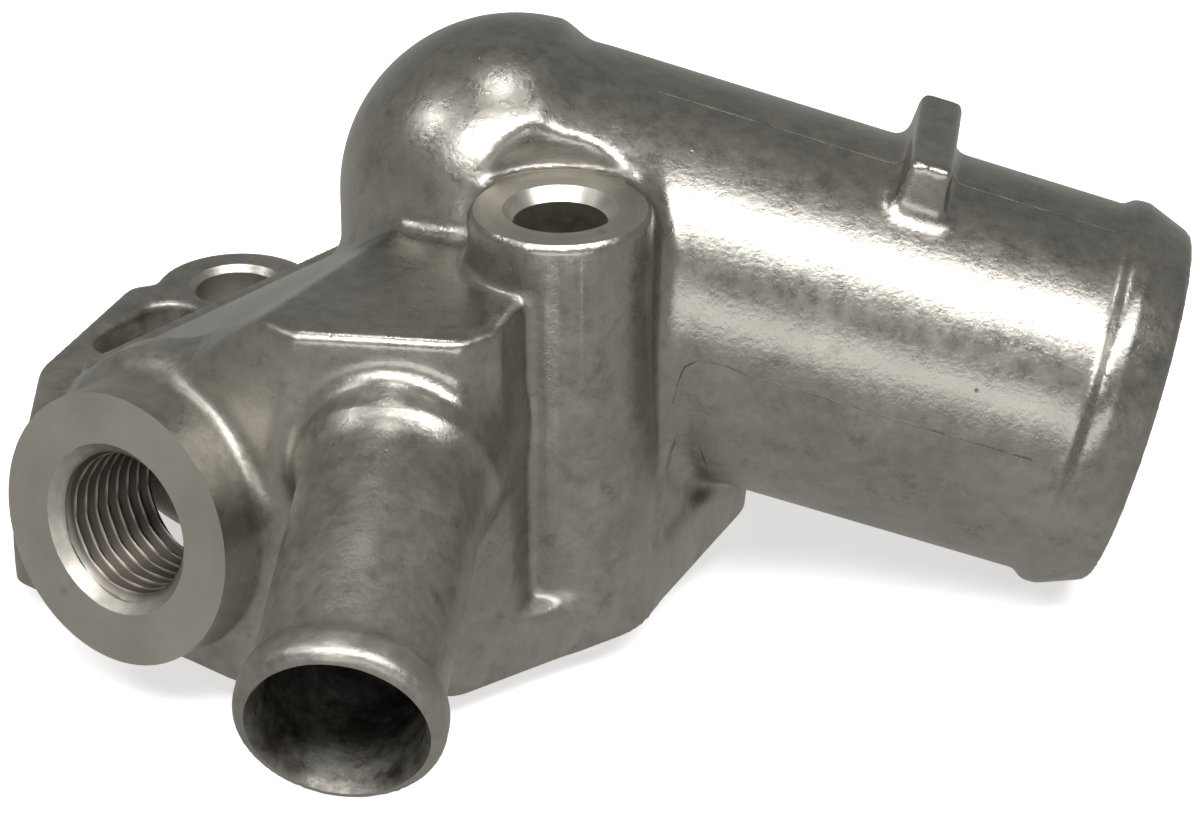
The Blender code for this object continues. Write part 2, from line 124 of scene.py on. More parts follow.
PLATFORM_HEIGHT = 37.5
PLATFORM_LEFT = -3.8
PLATFORM_RIGHT = 19.4
PLATFORM_CORNER = 3.4
FLANK_CORNER = plan(19.4, -38.2)
BLOCK_PORT_CORNER = plan(-32.4, -27.6)
ROOF_START = plan(5.2, -20.6)
RIDGE_HEIGHT = 11.5
RIDGE_LEFT = plan(-32, -5)
RIDGE_RIGHT = plan(-10.6, 28.2)
LIP_HEIGHT = 1.2
LIP_WIDTH = 1.4

COLUMN_RADIUS = 8.8
COLUMN_HEIGHT = 43
COLUMN_DRAFT = 0.2
POCKET_RADIUS = 9.8
POCKET_HEIGHT = 14
POCKET_FILLET = 0.9

DOME_CENTRE = np.array((14.3, -4.9, 35.3))
DOME_RADIUS = 17.6
DOME_INSET = 0.12
SHOULDER_LENGTH = 3.0
SHOULDER_ROUND = 3.2
ELBOW_POINT = np.array((18.2, -4.9, 30.8))
NECK_SLOPE = math.radians(14.9)
NECK_AXIS = np.array((math.cos(NECK_SLOPE), 0, -math.sin(NECK_SLOPE)))
NECK_UP = np.array((math.sin(NECK_SLOPE), 0, math.cos(NECK_SLOPE)))
NECK_RADIUS = 19
NECK_DRAFT = 0.4
NECK_BORE_RADIUS = 16
NECK_LENGTH = 60.6
NECK_BEAD_SETBACK = 5.2
NECK_BEAD_HEIGHT = 0.8
NECK_LEAD_IN = 1.0
LUG_SETBACK = 27.4
LUG_HEIGHT = 3.4
LUG_TOP_SIZE = (4.2, 17.6)
LUG_FOOT_SIZE = (5.4, 18.4)

SPIGOT_SLOPE = math.radians(16.2)
SPIGOT_AXIS = np.array((0, -math.cos(SPIGOT_SLOPE), -math.sin(SPIGOT_SLOPE)))
SPIGOT_ROOT = np.array((9.2, FRONT_Y, 23.6))
SPIGOT_LENGTH = 32.2
SPIGOT_RADIUS = 8.75
SPIGOT_BORE_RADIUS = 7.7
SPIGOT_BEAD_LENGTH = 4.2
SPIGOT_BEAD_HEIGHT = 0.8
SPIGOT_ROOT_FLARE = 1.6
SPIGOT_LEAD_IN = 1.2

PORT_CENTRE = np.array((-18.1, -44.2, 15.5))
PORT_PLAN_ANGLE = math.radians(242.5)
PORT_RISE = math.radians(6)
PORT_AXIS = np.array((
    math.cos(PORT_PLAN_ANGLE) * math.cos(PORT_RISE),
    math.sin(PORT_PLAN_ANGLE) * math.cos(PORT_RISE),
    math.sin(PORT_RISE),
))
PORT_BOSS_RADIUS = 13.5
PORT_BOSS_LENGTH = 12
PORT_COLLAR_HEIGHT = 2.2
PORT_CORE_RADIUS = 8.2
PORT_DEPTH = 17
PORT_LEAD_IN = 1.7
PORT_LEAD_IN_DEPTH = 1.9
TAPPED_DEPTH = 12.8
THREAD_PITCH = 1.5
THREAD_CREST_RADIUS = 6.8
THREAD_HEIGHT = 0.8

RELIEF_START = plan(-30.5, 11)
RELIEF_END = plan(-27.6, 17)
RELIEF_RADIUS = 3.6
RELIEF_DEPTH = 5
RELIEF_FILLET = 1.2

# Lines that the die leaves: how high on the neck's side, how far from its top, how thick,
# and how far apart their points are.
SEAM_RISE = 0.6
SEAM_OFFSET = -2.9
SEAM_RADIUS = 0.1
SEAM_STEP = 0.4

# How far a cutter reaches past the face it opens, and the steps round turned shapes.
OVERLAP = 1.0
CUTTER_STEPS = 128
THREAD_STEPS_ROUND = 96
THREAD_STEPS_ALONG = 144
MILLED_LOW = (-45, -60, -4)
MILLED_HIGH = (45, 40, 0)

# The view and its studio, in metres. Each lamp has a name, its place from the middle of
# the view, its size and its power in watts.
VIEW_MIDDLE = Vector((0.0242, -0.0156, 0.017))
CAMERA_PLACE = Vector((0.0731, -0.3776, 0.2031))
CAMERA_LENS = 124.2
LAMPS = (
    ("strip", (0.12, -0.42, 0.72), (1.3, 0.26), 9.0),
    ("overhead spot", (-0.14, 0.05, 0.98), (0.16, 0.16), 0.9),
    ("left spot", (-0.71, -0.11, 0.70), (0.16, 0.16), 0.8),
    ("front fill", (0.15, -1.1, 0.12), (1.4, 0.3), 2.5),
)
LIGHT_FROM_BELOW = 0.46
LIGHT_FROM_ABOVE = 0.27
FLOOR_REACH = 3.0
FLOOR_GAP = 0.00005
FLOOR_GLOW = 0.56

# The eight corners of a cell of the grid.
CORNERS = list(itertools.product((0, 1), repeat=3))


# Outlines.
def circle(centre, radius, height, steps=72):
    angles = 2 * math.pi * np.arange(steps) / steps
    return [(centre[0] + radius * math.cos(a), centre[1] + radius * math.sin(a), height) for a in angles]


def at_height(outline, height):
    """Points of an outline at one height."""
    return [(point[0], point[1], height) for point in outline]


def rim_arc(radius, start, end, steps):
    """Arc about the seat, between two angles in degrees."""
    angles = np.radians(np.linspace(start, end, steps + 1))
    return [np.array((radius * math.cos(a), radius * math.sin(a))) for a in angles]


def rounded(corners, steps=8):
    """Closed outline whose corners (point, radius) are rounded by arcs."""
    points = []
    for index, (corner, radius) in enumerate(corners):
        before = unit(corners[index - 1][0] - corner)
        after = unit(corners[(index + 1) % len(corners)][0] - corner)
        half = math.acos(np.clip(before @ after, -1, 1)) / 2
        if radius <= 0:
            points.append(corner)
            continue
        centre = corner + unit(before + after) * radius / math.sin(half)
        start = corner + before * radius / math.tan(half) - centre
        end = corner + after * radius / math.tan(half) - centre
        turn = math.atan2(start[0] * end[1] - start[1] * end[0], start @ end)
        for step in range(steps + 1):
            a = turn * step / steps
            points.append(centre + np.array((
                start[0] * math.cos(a) - start[1] * math.sin(a),
                start[0] * math.sin(a) + start[1] * math.cos(a),
            )))
    return points


# Signed distances.
class Shape:
    """A signed distance with the box outside which it doesn't matter."""

    def __init__(self, distance, low, high):
        self.distance = distance
        self.low = np.array(low, dtype=float)
        self.high = np.array(high, dtype=float)


def round_union(a, b, radius):
    """Smaller of two distances, with a concave fillet where they meet."""
    if radius <= 0:
        return np.minimum(a, b)
    corner = np.sqrt(np.maximum(radius - a, 0) ** 2 + np.maximum(radius - b, 0) ** 2)
    return np.maximum(radius, np.minimum(a, b)) - corner


def round_overlap(a, b, radius):
    """Larger of two distances, with a rounded edge where they meet."""
    return -round_union(-a, -b, radius)


def prism(outline, bottom, top):
    """Upright extrusion of a closed outline."""
    ring = np.array(outline)
    sides = list(zip(ring, np.roll(ring, -1, axis=0)))

    def distance(x, y, z):
        px = np.broadcast_to(x, (x.shape[0], y.shape[1], 1))
        py = np.broadcast_to(y, (x.shape[0], y.shape[1], 1))
        nearest = np.full(px.shape, 1e6, dtype=np.float32)
        crossings = np.zeros(px.shape, dtype=bool)
        for (ax, ay), (bx, by) in sides:
            ex, ey = bx - ax, by - ay
            share = np.clip(((px - ax) * ex + (py - ay) * ey) / (ex * ex + ey * ey), 0, 1)
            gap = (px - ax - ex * share) ** 2 + (py - ay - ey * share) ** 2
            nearest = np.minimum(nearest, gap)
            if ay != by:
                spans = (py < ay) != (py < by)
                crossings ^= spans & (px < ax + (py - ay) * ex / ey)
        side = np.sqrt(nearest) * np.where(crossings, -1, 1)
        ends_gap = np.maximum(bottom - z, z - top)
        return np.maximum(side, ends_gap).astype(np.float32)

    low = (*ring.min(0), bottom)
    high = (*ring.max(0), top)
    return Shape(distance, low, high)


def hull(points, edge=0.0):
    """Convex body round some points, from the planes of its faces, with rounded edges."""
    shape = bmesh.new()
    for point in points:
        shape.verts.new(point)
    result = bmesh.ops.convex_hull(shape, input=shape.verts)
    spare = [item for item in result["geom_interior"] if isinstance(item, bmesh.types.BMVert)]
    bmesh.ops.delete(shape, geom=spare, context="VERTS")
    bmesh.ops.dissolve_limit(shape, angle_limit=math.radians(0.5), verts=shape.verts, edges=shape.edges)
    bmesh.ops.recalc_face_normals(shape, faces=shape.faces)
    centre = np.mean([tuple(v.co) for v in shape.verts], axis=0)
    planes = []
    for face in shape.faces:
        normal = np.array(face.normal)
        level = normal @ np.array(face.calc_center_median())
        if normal @ centre > level:
            normal, level = -normal, -level
        planes.append((*normal, level))
    shape.free()

    def distance(x, y, z):
        result = None
        for a, b, c, level in planes:
            value = (a * x + b * y) + (c * z - level)
            result = value if result is None else round_overlap(result, value, edge)
        return result

    cloud = np.array(points)
    return Shape(distance, cloud.min(0), cloud.max(0))


def turned(profile, origin, axis):
    """Turned body from (distance along the axis, radius) pairs."""
    alongs, radii = np.array(profile, dtype=float).T
    reach = radii.max()

    def distance(x, y, z):
        dx, dy, dz = x - origin[0], y - origin[1], z - origin[2]
        along = dx * axis[0] + dy * axis[1] + dz * axis[2]
        radial = np.sqrt(np.maximum(dx * dx + dy * dy + dz * dz - along * along, 0))
        side = radial - np.interp(along, alongs, radii)
        return np.maximum(side, np.maximum(along - alongs[-1], alongs[0] - along)).astype(np.float32)

    ends = np.array([origin + axis * alongs[0], origin + axis * alongs[-1]])
    across = reach * np.sqrt(1 - axis ** 2)
    return Shape(distance, ends.min(0) - across, ends.max(0) + across)


def rib(points, radius):
    """Chain of round-ended bars through some points."""
    path = np.array(points, dtype=float)

    def distance(x, y, z):
        nearest = None
        for a, b in zip(path, path[1:]):
            e = b - a
            dx, dy, dz = x - a[0], y - a[1], z - a[2]
            share = np.clip((dx * e[0] + dy * e[1] + dz * e[2]) / (e @ e), 0, 1)
            gap = (dx - e[0] * share) ** 2 + (dy - e[1] * share) ** 2 + (dz - e[2] * share) ** 2
            nearest = gap if nearest is None else np.minimum(nearest, gap)
        return np.sqrt(nearest) - radius

    return Shape(distance, path.min(0) - radius, path.max(0) + radius)


class Metal:
    """Signed distance on a grid, below zero inside the metal."""

    MARGIN = 4.0

    def __init__(self, low, high, cell):
        self.cell = cell
        self.low = np.array(low, dtype=np.float32)
        counts = np.ceil((np.array(high) - self.low) / cell).astype(int) + 1
        self.axes = [self.low[i] + cell * np.arange(counts[i], dtype=np.float32) for i in range(3)]
        self.values = np.full(counts, self.MARGIN * 2, dtype=np.float32)

    def window(self, shape):
        """The part of the grid round a shape, and the shape's distance there."""
        spans = []
        for axis, start, end in zip(self.axes, shape.low - self.MARGIN, shape.high + self.MARGIN):
            spans.append(slice(int(np.searchsorted(axis, start)), int(np.searchsorted(axis, end))))
        x = self.axes[0][spans[0]][:, None, None]
        y = self.axes[1][spans[1]][None, :, None]
        z = self.axes[2][spans[2]][None, None, :]
        return tuple(spans), shape.distance(x, y, z)

    def join(self, shape, fillet=0.0):
        spans, distance = self.window(shape)
        self.values[spans] = round_union(self.values[spans], distance, fillet)

    def cut(self, shape, edge=0.0):
        spans, distance = self.window(shape)
        self.values[spans] = round_overlap(self.values[spans], -distance, edge)

    def blur(self, width):
        """Round every edge and corner by averaging the distance over a short width."""
        reach = int(math.ceil(2.5 * width / self.cell))
        taps = np.exp(-0.5 * (np.arange(-reach, reach + 1) * self.cell / width) ** 2)
        taps = (taps / taps.sum()).astype(np.float32)
        for axis in range(3):
            pad = [(0, 0)] * 3
            pad[axis] = (reach, reach)
            padded = np.pad(self.values, pad, mode="edge")
            total = np.zeros_like(self.values)
            size = self.values.shape[axis]
            for index, weight in enumerate(taps):
                pick = [slice(None)] * 3
                pick[axis] = slice(index, index + size)
                total += weight * padded[tuple(pick)]
            self.values = total

    def sample(self, points):
        """Distance at any points, between the grid's values."""
        place = (points - self.low) / self.cell
        limit = np.array(self.values.shape) - 1.001
        place = np.clip(place, 0, limit)
        base = place.astype(np.int32)
        share = (place - base).astype(np.float32)
        weights = (1 - share, share)
        result = np.zeros(len(points), dtype=np.float32)
        for i, j, k in CORNERS:
            weight = weights[i][:, 0] * weights[j][:, 1] * weights[k][:, 2]
            result += weight * self.values[base[:, 0] + i, base[:, 1] + j, base[:, 2] + k]
        return result

    def slope(self, points):
        """Direction in which the distance grows at any points."""
        step = self.cell * 0.75
        result = np.zeros((len(points), 3), dtype=np.float32)
        for axis in range(3):
            offset = np.zeros(3, dtype=np.float32)
            offset[axis] = step
            result[:, axis] = self.sample(points + offset) - self.sample(points - offset)
        return result / (2 * step)

    def skin(self):
        """Points and four-sided faces of the metal's surface."""
        inside = self.values < 0
        size = np.array(self.values.shape) - 1
        count = np.zeros(size, dtype=np.int8)
        for i, j, k in CORNERS:
            count += inside[i:i + size[0], j:j + size[1], k:k + size[2]]
        active = (count > 0) & (count < len(CORNERS))
        cells = np.argwhere(active)
        index = np.full(size, -1, dtype=np.int32)
        index[active] = np.arange(len(cells))
        quads = [self.quads_across(axis, inside, index) for axis in range(3)]
        return self.settled(self.cell_points(cells)), np.concatenate(quads)

    def cell_points(self, cells):
        """One point to a cell: the mean of where the surface crosses its edges."""
        total = np.zeros((len(cells), 3), dtype=np.float64)
        hits = np.zeros(len(cells))
        for axis in range(3):
            across = [a for a in range(3) if a != axis]
            for first, second in itertools.product((0, 1), repeat=2):
                start = cells.copy()
                start[:, across[0]] += first
                start[:, across[1]] += second
                end = start.copy()
                end[:, axis] += 1
                a = self.values[tuple(start.T)]
                b = self.values[tuple(end.T)]
                crossing = (a < 0) != (b < 0)
                point = start[crossing].astype(np.float64)
                point[:, axis] += (a / np.where(crossing, a - b, 1))[crossing]
                total[crossing] += point
                hits[crossing] += 1
        return self.low + self.cell * total / hits[:, None]

    def quads_across(self, axis, inside, index):
        """Faces round the grid's edges that cross the surface along one axis."""
        size = index.shape
        u, v = (axis + 1) % 3, (axis + 2) % 3
        near = [slice(None)] * 3
        far = [slice(None)] * 3
        near[axis] = slice(0, -1)
        far[axis] = slice(1, None)
        starts = np.argwhere(inside[tuple(near)] != inside[tuple(far)])
        for side in (u, v):
            starts = starts[(starts[:, side] > 0) & (starts[:, side] < size[side])]
        ring = []
        for du, dv in ((1, 1), (0, 1), (0, 0), (1, 0)):
            cell = starts.copy()
            cell[:, u] -= du
            cell[:, v] -= dv
            ring.append(index[tuple(cell.T)])
        ring = np.stack(ring, axis=1)
        outward = inside[tuple(starts.T)]
        ring[~outward] = ring[~outward][:, ::-1]
        return ring

    def settled(self, points):
        """Points moved onto the surface, along its slope."""
        for _ in range(2):
            slope = self.slope(points)
            steep = np.maximum((slope ** 2).sum(1), 0.25)
            move = slope * (self.sample(points) / steep)[:, None]
            points = points - np.clip(move, -self.cell, self.cell)
        return points


# The casting's form.
def flange_outline():
    corners = [(FRONT_LEFT, 2), (FRONT_RIGHT, 2), (COLUMN_CORNER, 7), (RIGHT_CORNER, 7)]
    corners += [(point, 0) for point in rim_arc(SEAT_RADIUS + FLANGE_RIM, 25, 105, 24)]
    return rounded(corners + LEFT_SIDE + [(PORT_CORNER, 2)])


def side_pad_outline():
    """Pad that runs from the ear bolt along the left side of the flange."""
    return rounded([
        (EAR_BOLT + plan(8, 0), 0),
        (NOTCH_CORNER + plan(3, 1), 1),
        *LEFT_SIDE,
        (PAD_END, 3),
        (PAD_END + plan(PAD_DEPTH, 0), 0),
    ])


def bolt_pad_points():
    inner = unit(EAR_BOLT) * SEAT_RADIUS * 0.9
    points = []
    for height in (-2, EAR_THICKNESS):
        points += circle(EAR_BOLT, EAR_RADIUS, height)
        points += circle(inner, EAR_RADIUS * 0.7, height)
    return points


def block_points():
    """Front block: a flat platform and a roof that slopes to the ridge."""
    cut = PLATFORM_CORNER
    left, right = PLATFORM_LEFT, PLATFORM_RIGHT
    platform = [
        plan(left, FRONT_Y + cut * 0.85),
        plan(left + cut, FRONT_Y),
        plan(right - cut * 1.2, FRONT_Y),
        plan(right - cut * 0.25, FRONT_Y + cut),
        plan(right, FRONT_Y + cut * 2.8),
        COLUMN_BOLT,
        DOME_CENTRE[:2],
        ROOF_START,
    ]
    base = [
        FRONT_LEFT,
        FRONT_RIGHT,
        FLANK_CORNER,
        COLUMN_BOLT,
        DOME_CENTRE[:2],
        RIDGE_RIGHT,
        RIDGE_LEFT,
        BLOCK_PORT_CORNER,
    ]
    points = at_height(platform, PLATFORM_HEIGHT)
    points += at_height([RIDGE_LEFT, RIDGE_RIGHT], RIDGE_HEIGHT)
    points += at_height([BLOCK_PORT_CORNER], RIDGE_HEIGHT + 0.6)
    points += at_height(base, 1)
    return points


def wall_points():
    """Chamber wall, from the flange up to the elbow."""
    foot = [RIDGE_RIGHT + plan(1.1, 0.3)]
    foot += rim_arc(SEAT_RADIUS + WALL, 85, 35, 16)
    foot += [
        plan(36.4, 1.5),
        plan(36.6, -3),
        plan(29.2, -26.2),
        COLUMN_BOLT + plan(2.2, -1.7),
        DOME_CENTRE[:2] * -0.5,
    ]
    points = at_height(foot, 2) + at_height(foot, 7)
    points += circle(DOME_CENTRE, DOME_RADIUS - 0.6, DOME_CENTRE[2] - DOME_RADIUS / 2, 48)
    return points


def web_points():
    """Web that joins the column to the dome and the neck."""
    foot = [
        COLUMN_BOLT + plan(-8, 3),
        COLUMN_BOLT + plan(8.7, 1),
        COLUMN_BOLT + plan(10.6, 8),
        DOME_CENTRE[:2] + plan(16, -4),
        DOME_CENTRE[:2] + plan(-8, -4),
    ]
    crest = [
        COLUMN_BOLT + plan(-7, 4),
        COLUMN_BOLT + plan(8.4, 2),
        DOME_CENTRE[:2] + plan(14, -8),
        DOME_CENTRE[:2] + plan(-4, -4),
    ]
    return at_height(foot, 3) + at_height(foot, ELBOW_POINT[2]) + at_height(crest, COLUMN_HEIGHT - 0.6)


def dome_shape():
    """Round crown on an upright cylinder, ending in a rounded shoulder at the neck."""
    cx, cy, cz = DOME_CENTRE

    def distance(x, y, z):
        up = np.maximum(z - cz, 0)
        ball = np.sqrt((x - cx) ** 2 + (y - cy) ** 2 + up ** 2) - (DOME_RADIUS - DOME_INSET)
        body = np.maximum(ball, EAR_THICKNESS - z)
        shoulder = (
            (x - ELBOW_POINT[0]) * NECK_AXIS[0]
            + (y - ELBOW_POINT[1]) * NECK_AXIS[1]
            + (z - ELBOW_POINT[2]) * NECK_AXIS[2]
            + SHOULDER_LENGTH
        )
        return round_overlap(body, shoulder, SHOULDER_ROUND)

    low = (cx - DOME_RADIUS, cy - DOME_RADIUS, EAR_THICKNESS)
    high = (cx + DOME_RADIUS, cy + DOME_RADIUS, cz + DOME_RADIUS)
    return Shape(distance, low, high)


def neck_profile():
    bead = NECK_LENGTH - NECK_BEAD_SETBACK
    crest = NECK_RADIUS + NECK_BEAD_HEIGHT
    return [
        (-4, NECK_RADIUS + NECK_DRAFT - 0.2),
        (0, NECK_RADIUS + NECK_DRAFT),
        (bead - 1.9, NECK_RADIUS),
        (bead - 1.6, NECK_RADIUS + 0.16),
        (bead - 1.1, crest - 0.22),
        (bead - 0.6, crest),
        (bead + 0.6, crest),
        (NECK_LENGTH - 0.4, crest - 1.6),
        (NECK_LENGTH, crest - 2.0),
    ]


def spigot_profile():
    radius = SPIGOT_RADIUS
    bead = SPIGOT_LENGTH - SPIGOT_BEAD_LENGTH
    return [
        (-8.7, radius + SPIGOT_ROOT_FLARE),
        (1.0, radius + 1.0),
        (2.0, radius + 0.5),
        (3.2, radius + 0.12),
        (4.4, radius),
        (bead - 0.5, radius),
        (bead - 0.1, radius + 0.15),
        (bead + 0.4, radius + 0.6),
        (bead + 1.1, radius + SPIGOT_BEAD_HEIGHT),
        (SPIGOT_LENGTH - 1.2, radius + SPIGOT_BEAD_HEIGHT),
        (SPIGOT_LENGTH - 0.5, radius + 0.5),
        (SPIGOT_LENGTH - 0.12, radius + 0.05),
        (SPIGOT_LENGTH, radius - 0.4),
    ]


def boss_profile():
    radius = PORT_BOSS_RADIUS
    return [
        (-PORT_BOSS_LENGTH, radius + PORT_COLLAR_HEIGHT),
        (-8.8, radius + 2.0),
        (-7.6, radius + 1.3),
        (-6.8, radius + 0.45),
        (-6.0, radius + 0.08),
        (-5.4, radius),
        (0.7, radius),
    ]


def lug_points():
    """Locating lug across the neck, from its foot inside the wall to its top."""
    centre = ELBOW_POINT + NECK_AXIS * (NECK_LENGTH - LUG_SETBACK)
    points = []
    levels = ((NECK_RADIUS * 0.75, LUG_FOOT_SIZE), (NECK_RADIUS + LUG_HEIGHT, LUG_TOP_SIZE))
    for rise, (width, span) in levels:
        for along in (-width / 2, width / 2):
            for across in (-span / 2, span / 2):
                points.append(centre + NECK_AXIS * along + np.array((0, across, 0)) + NECK_UP * rise)
    return points


def lip_points():
    """Raised lip along the ridge of the roof."""
    along = unit(RIDGE_RIGHT - RIDGE_LEFT)
    inward = np.array((along[1], -along[0]))
    outer = [RIDGE_LEFT + along + inward * 0.1, RIDGE_RIGHT + along * 2 + inward * 0.1]
    outline = outer + [point + inward * LIP_WIDTH for point in outer]
    return at_height(outline, 7) + at_height(outline, RIDGE_HEIGHT + LIP_HEIGHT)


def pocket_shape():
    """Room for a socket above the column, with a fillet round its floor."""
    cx, cy = COLUMN_BOLT

    def distance(x, y, z):
        side = np.sqrt((x - cx) ** 2 + (y - cy) ** 2) - POCKET_RADIUS
        return round_overlap(side, COLUMN_HEIGHT - z, POCKET_FILLET)

    low = (cx - POCKET_RADIUS, cy - POCKET_RADIUS, COLUMN_HEIGHT)
    high = (cx + POCKET_RADIUS, cy + POCKET_RADIUS, COLUMN_HEIGHT + POCKET_HEIGHT)
    return Shape(distance, low, high)


def relief_shape():
    """Oblong pocket beside the ear bolt."""
    start, end = RELIEF_START, RELIEF_END
    run = end - start

    def distance(x, y, z):
        dx, dy = x - start[0], y - start[1]
        share = np.clip((dx * run[0] + dy * run[1]) / (run @ run), 0, 1)
        side = np.sqrt((dx - run[0] * share) ** 2 + (dy - run[1] * share) ** 2) - RELIEF_RADIUS
        return round_overlap(side, EAR_THICKNESS - RELIEF_DEPTH - z, RELIEF_FILLET)

    low = np.minimum(start, end) - RELIEF_RADIUS
    high = np.maximum(start, end) + RELIEF_RADIUS
    return Shape(distance, (*low, EAR_THICKNESS - RELIEF_DEPTH), (*high, EAR_THICKNESS + 3))


def gallery_shape():
    """Gallery from the seat to the port and the spigot, under the block's roof."""
    front = FRONT_Y + WALL
    floor = [
        plan(-4.4, front + 2.4),
        plan(11.4, front + 2.4),
        plan(12.6, front + 8),
        plan(12, 2),
        plan(-12, 10),
        plan(-26.6, -6),
        plan(-26.8, -23.6),
    ]
    ceiling = [
        plan(0.2, front + 2.2),
        plan(12, front + 1.4),
        plan(12, DOME_CENTRE[1]),
        plan(6, DOME_CENTRE[1]),
        ROOF_START,
    ]
    points = at_height(floor, -3) + at_height(floor, 4.5)
    return hull(points + at_height(ceiling, PLATFORM_HEIGHT - WALL))


def neck_root_profile():
    """Start of the neck's bore, with a ball end inside the elbow."""
    start, radius = -3, NECK_BORE_RADIUS
    ball = [(start - radius * math.cos(a), radius * math.sin(a)) for a in np.linspace(0.02, 1.57, 12)]
    return ball + [(6, radius - 0.1)]


def core_hollow(cell, low, high):
    """The foundry core: chamber, gallery and the roots of both bores."""
    core = Metal(low, high, cell)
    points = circle((0, 0), CHAMBER_RADIUS, SEAT_DEPTH - 3, 64)
    points += circle(DOME_CENTRE, DOME_RADIUS - WALL - 1, DOME_CENTRE[2] - WALL, 48)
    core.join(hull(points))
    gallery = Metal(low, high, cell)
    gallery.join(gallery_shape())
    ring_wall = [(SEAT_DEPTH, RING_WALL_RADIUS), (RING_WALL_HEIGHT, RING_WALL_RADIUS - 1)]
    gallery.cut(turned(ring_wall, ORIGIN, UPWARD), 1.0)
    core.values = np.minimum(core.values, gallery.values)
    core.blur(CORE_FILLET * 0.5)
    spigot_root = [(-21.5, SPIGOT_BORE_RADIUS), (-3, SPIGOT_BORE_RADIUS - 0.1)]
    core.join(turned(neck_root_profile(), ELBOW_POINT, NECK_AXIS), CORE_FILLET)
    core.join(turned(spigot_root, SPIGOT_ROOT, SPIGOT_AXIS), CORE_FILLET)
    return core


def shaft_shape():
    """The bolt column, with its draft and a chamfer for the machined top."""
    profile = [
        (0.5, COLUMN_RADIUS + COLUMN_DRAFT),
        (COLUMN_HEIGHT - 0.5, COLUMN_RADIUS),
        (COLUMN_HEIGHT + 0.6, COLUMN_RADIUS - 1.1),
    ]
    return turned(profile, np.array((*COLUMN_BOLT, 0)), UPWARD)


def web_rib():
    """Narrow ridge down the front edge of the web."""
    return rib([(33.4, -22.5, 29.5), (32.4, -22.6, 22), (31.0, -22.8, 14), (30.0, -24.5, 7)], 0.5)


def casting_form(cell, fillet):
    """The whole casting before machining."""
    low = np.array(CAD_BOUNDS[0]) / MM - 3
    high = np.array(CAD_BOUNDS[1]) / MM + 3
    metal = Metal(low, high, cell)
    metal.join(prism(flange_outline(), -2, FLANGE_THICKNESS))
    metal.join(prism(side_pad_outline(), -2, EAR_THICKNESS))
    metal.join(hull(bolt_pad_points()))
    metal.join(hull(wall_points()), fillet * 1.2)
    metal.join(hull(block_points()), fillet * 0.6)
    metal.join(hull(web_points()), fillet * 1.8)
    metal.blur(fillet * 0.4)
    metal.join(dome_shape(), fillet)
    metal.join(turned(neck_profile(), ELBOW_POINT, NECK_AXIS), fillet * 1.4)
    metal.join(hull(lip_points(), 0.3), fillet * 0.5)
    metal.join(turned(spigot_profile(), SPIGOT_ROOT, SPIGOT_AXIS), fillet)
    metal.join(turned(boss_profile(), PORT_CENTRE, PORT_AXIS), fillet * 0.8)
    metal.join(hull(lug_points(), 0.8), fillet * 0.8)
    metal.cut(pocket_shape(), 0.7)
    metal.join(shaft_shape(), fillet * 0.6)
    metal.join(web_rib(), 1.4)
    metal.cut(relief_shape(), 0.9)
    core = core_hollow(cell, low, high)
    metal.values = round_overlap(metal.values, -core.values, 0.3)
    return metal


# Meshes.
def linked(name, data):
    """New object in the scene."""
    result = bpy.data.objects.new(name, data)
    bpy.context.scene.collection.objects.link(result)
    return result


def mesh_object(name, points, faces):
    mesh = bpy.data.meshes.new(name)
    mesh.vertices.add(len(points))
    mesh.vertices.foreach_set("co", (np.asarray(points) * MM).astype(np.float32).ravel())
    mesh.loops.add(faces.size)
    mesh.loops.foreach_set("vertex_index", faces.astype(np.int32).ravel())
    mesh.polygons.add(len(faces))
    mesh.polygons.foreach_set("loop_start", np.arange(0, faces.size, faces.shape[1], dtype=np.int32))
    mesh.update(calc_edges=True)
    return linked(name, mesh)


def baked(piece):
    """Replace a piece's mesh by its evaluated one and drop the modifiers."""
    bpy.context.view_layer.update()
    graph = bpy.context.evaluated_depsgraph_get()
    mesh = bpy.data.meshes.new_from_object(piece.evaluated_get(graph), depsgraph=graph)
    piece.modifiers.clear()
    old = piece.data
    piece.data = mesh
    bpy.data.meshes.remove(old)
    return piece


def cutter_object(shape, surface):
    """Cutter whose surface gives the machined faces their material."""
    mesh = bpy.data.meshes.new("cutter")
    shape.to_mesh(mesh)
    shape.free()
    mesh.materials.append(surface)
    return linked("cutter", mesh)


def placed(origin, axis):
    """Matrix that stands an upright shape on an axis at a place."""
    turn = Vector(axis).to_track_quat("Z", "Y").to_matrix().to_4x4()
    return Matrix.Translation(Vector(origin) * MM) @ turn


def cutter(profile, origin, axis, surface):
    """Turned cutter from (distance along the axis, radius) pairs."""
    shape = bmesh.new()
    rings = []
    for along, radius in profile:
        outline = circle((0, 0), radius, along, CUTTER_STEPS)
        rings.append([shape.verts.new(Vector(point) * MM) for point in outline])
    for lower, upper in zip(rings, rings[1:]):
        for step in range(CUTTER_STEPS):
            following = (step + 1) % CUTTER_STEPS
            shape.faces.new((lower[step], lower[following], upper[following], upper[step]))
    shape.faces.new(rings[0])
    shape.faces.new(rings[-1])
    bmesh.ops.transform(shape, matrix=placed(origin, axis), verts=shape.verts)
    bmesh.ops.recalc_face_normals(shape, faces=shape.faces)
    return cutter_object(shape, surface)


def slab(low, high, surface):
    """Box cutter for a milled face."""
    shape = bmesh.new()
    bmesh.ops.create_cube(shape, size=1)
    size = Vector(high) - Vector(low)
    middle = (Vector(high) + Vector(low)) / 2
    for vertex in shape.verts:
        vertex.co = (vertex.co * size + middle) * MM
    return cutter_object(shape, surface)


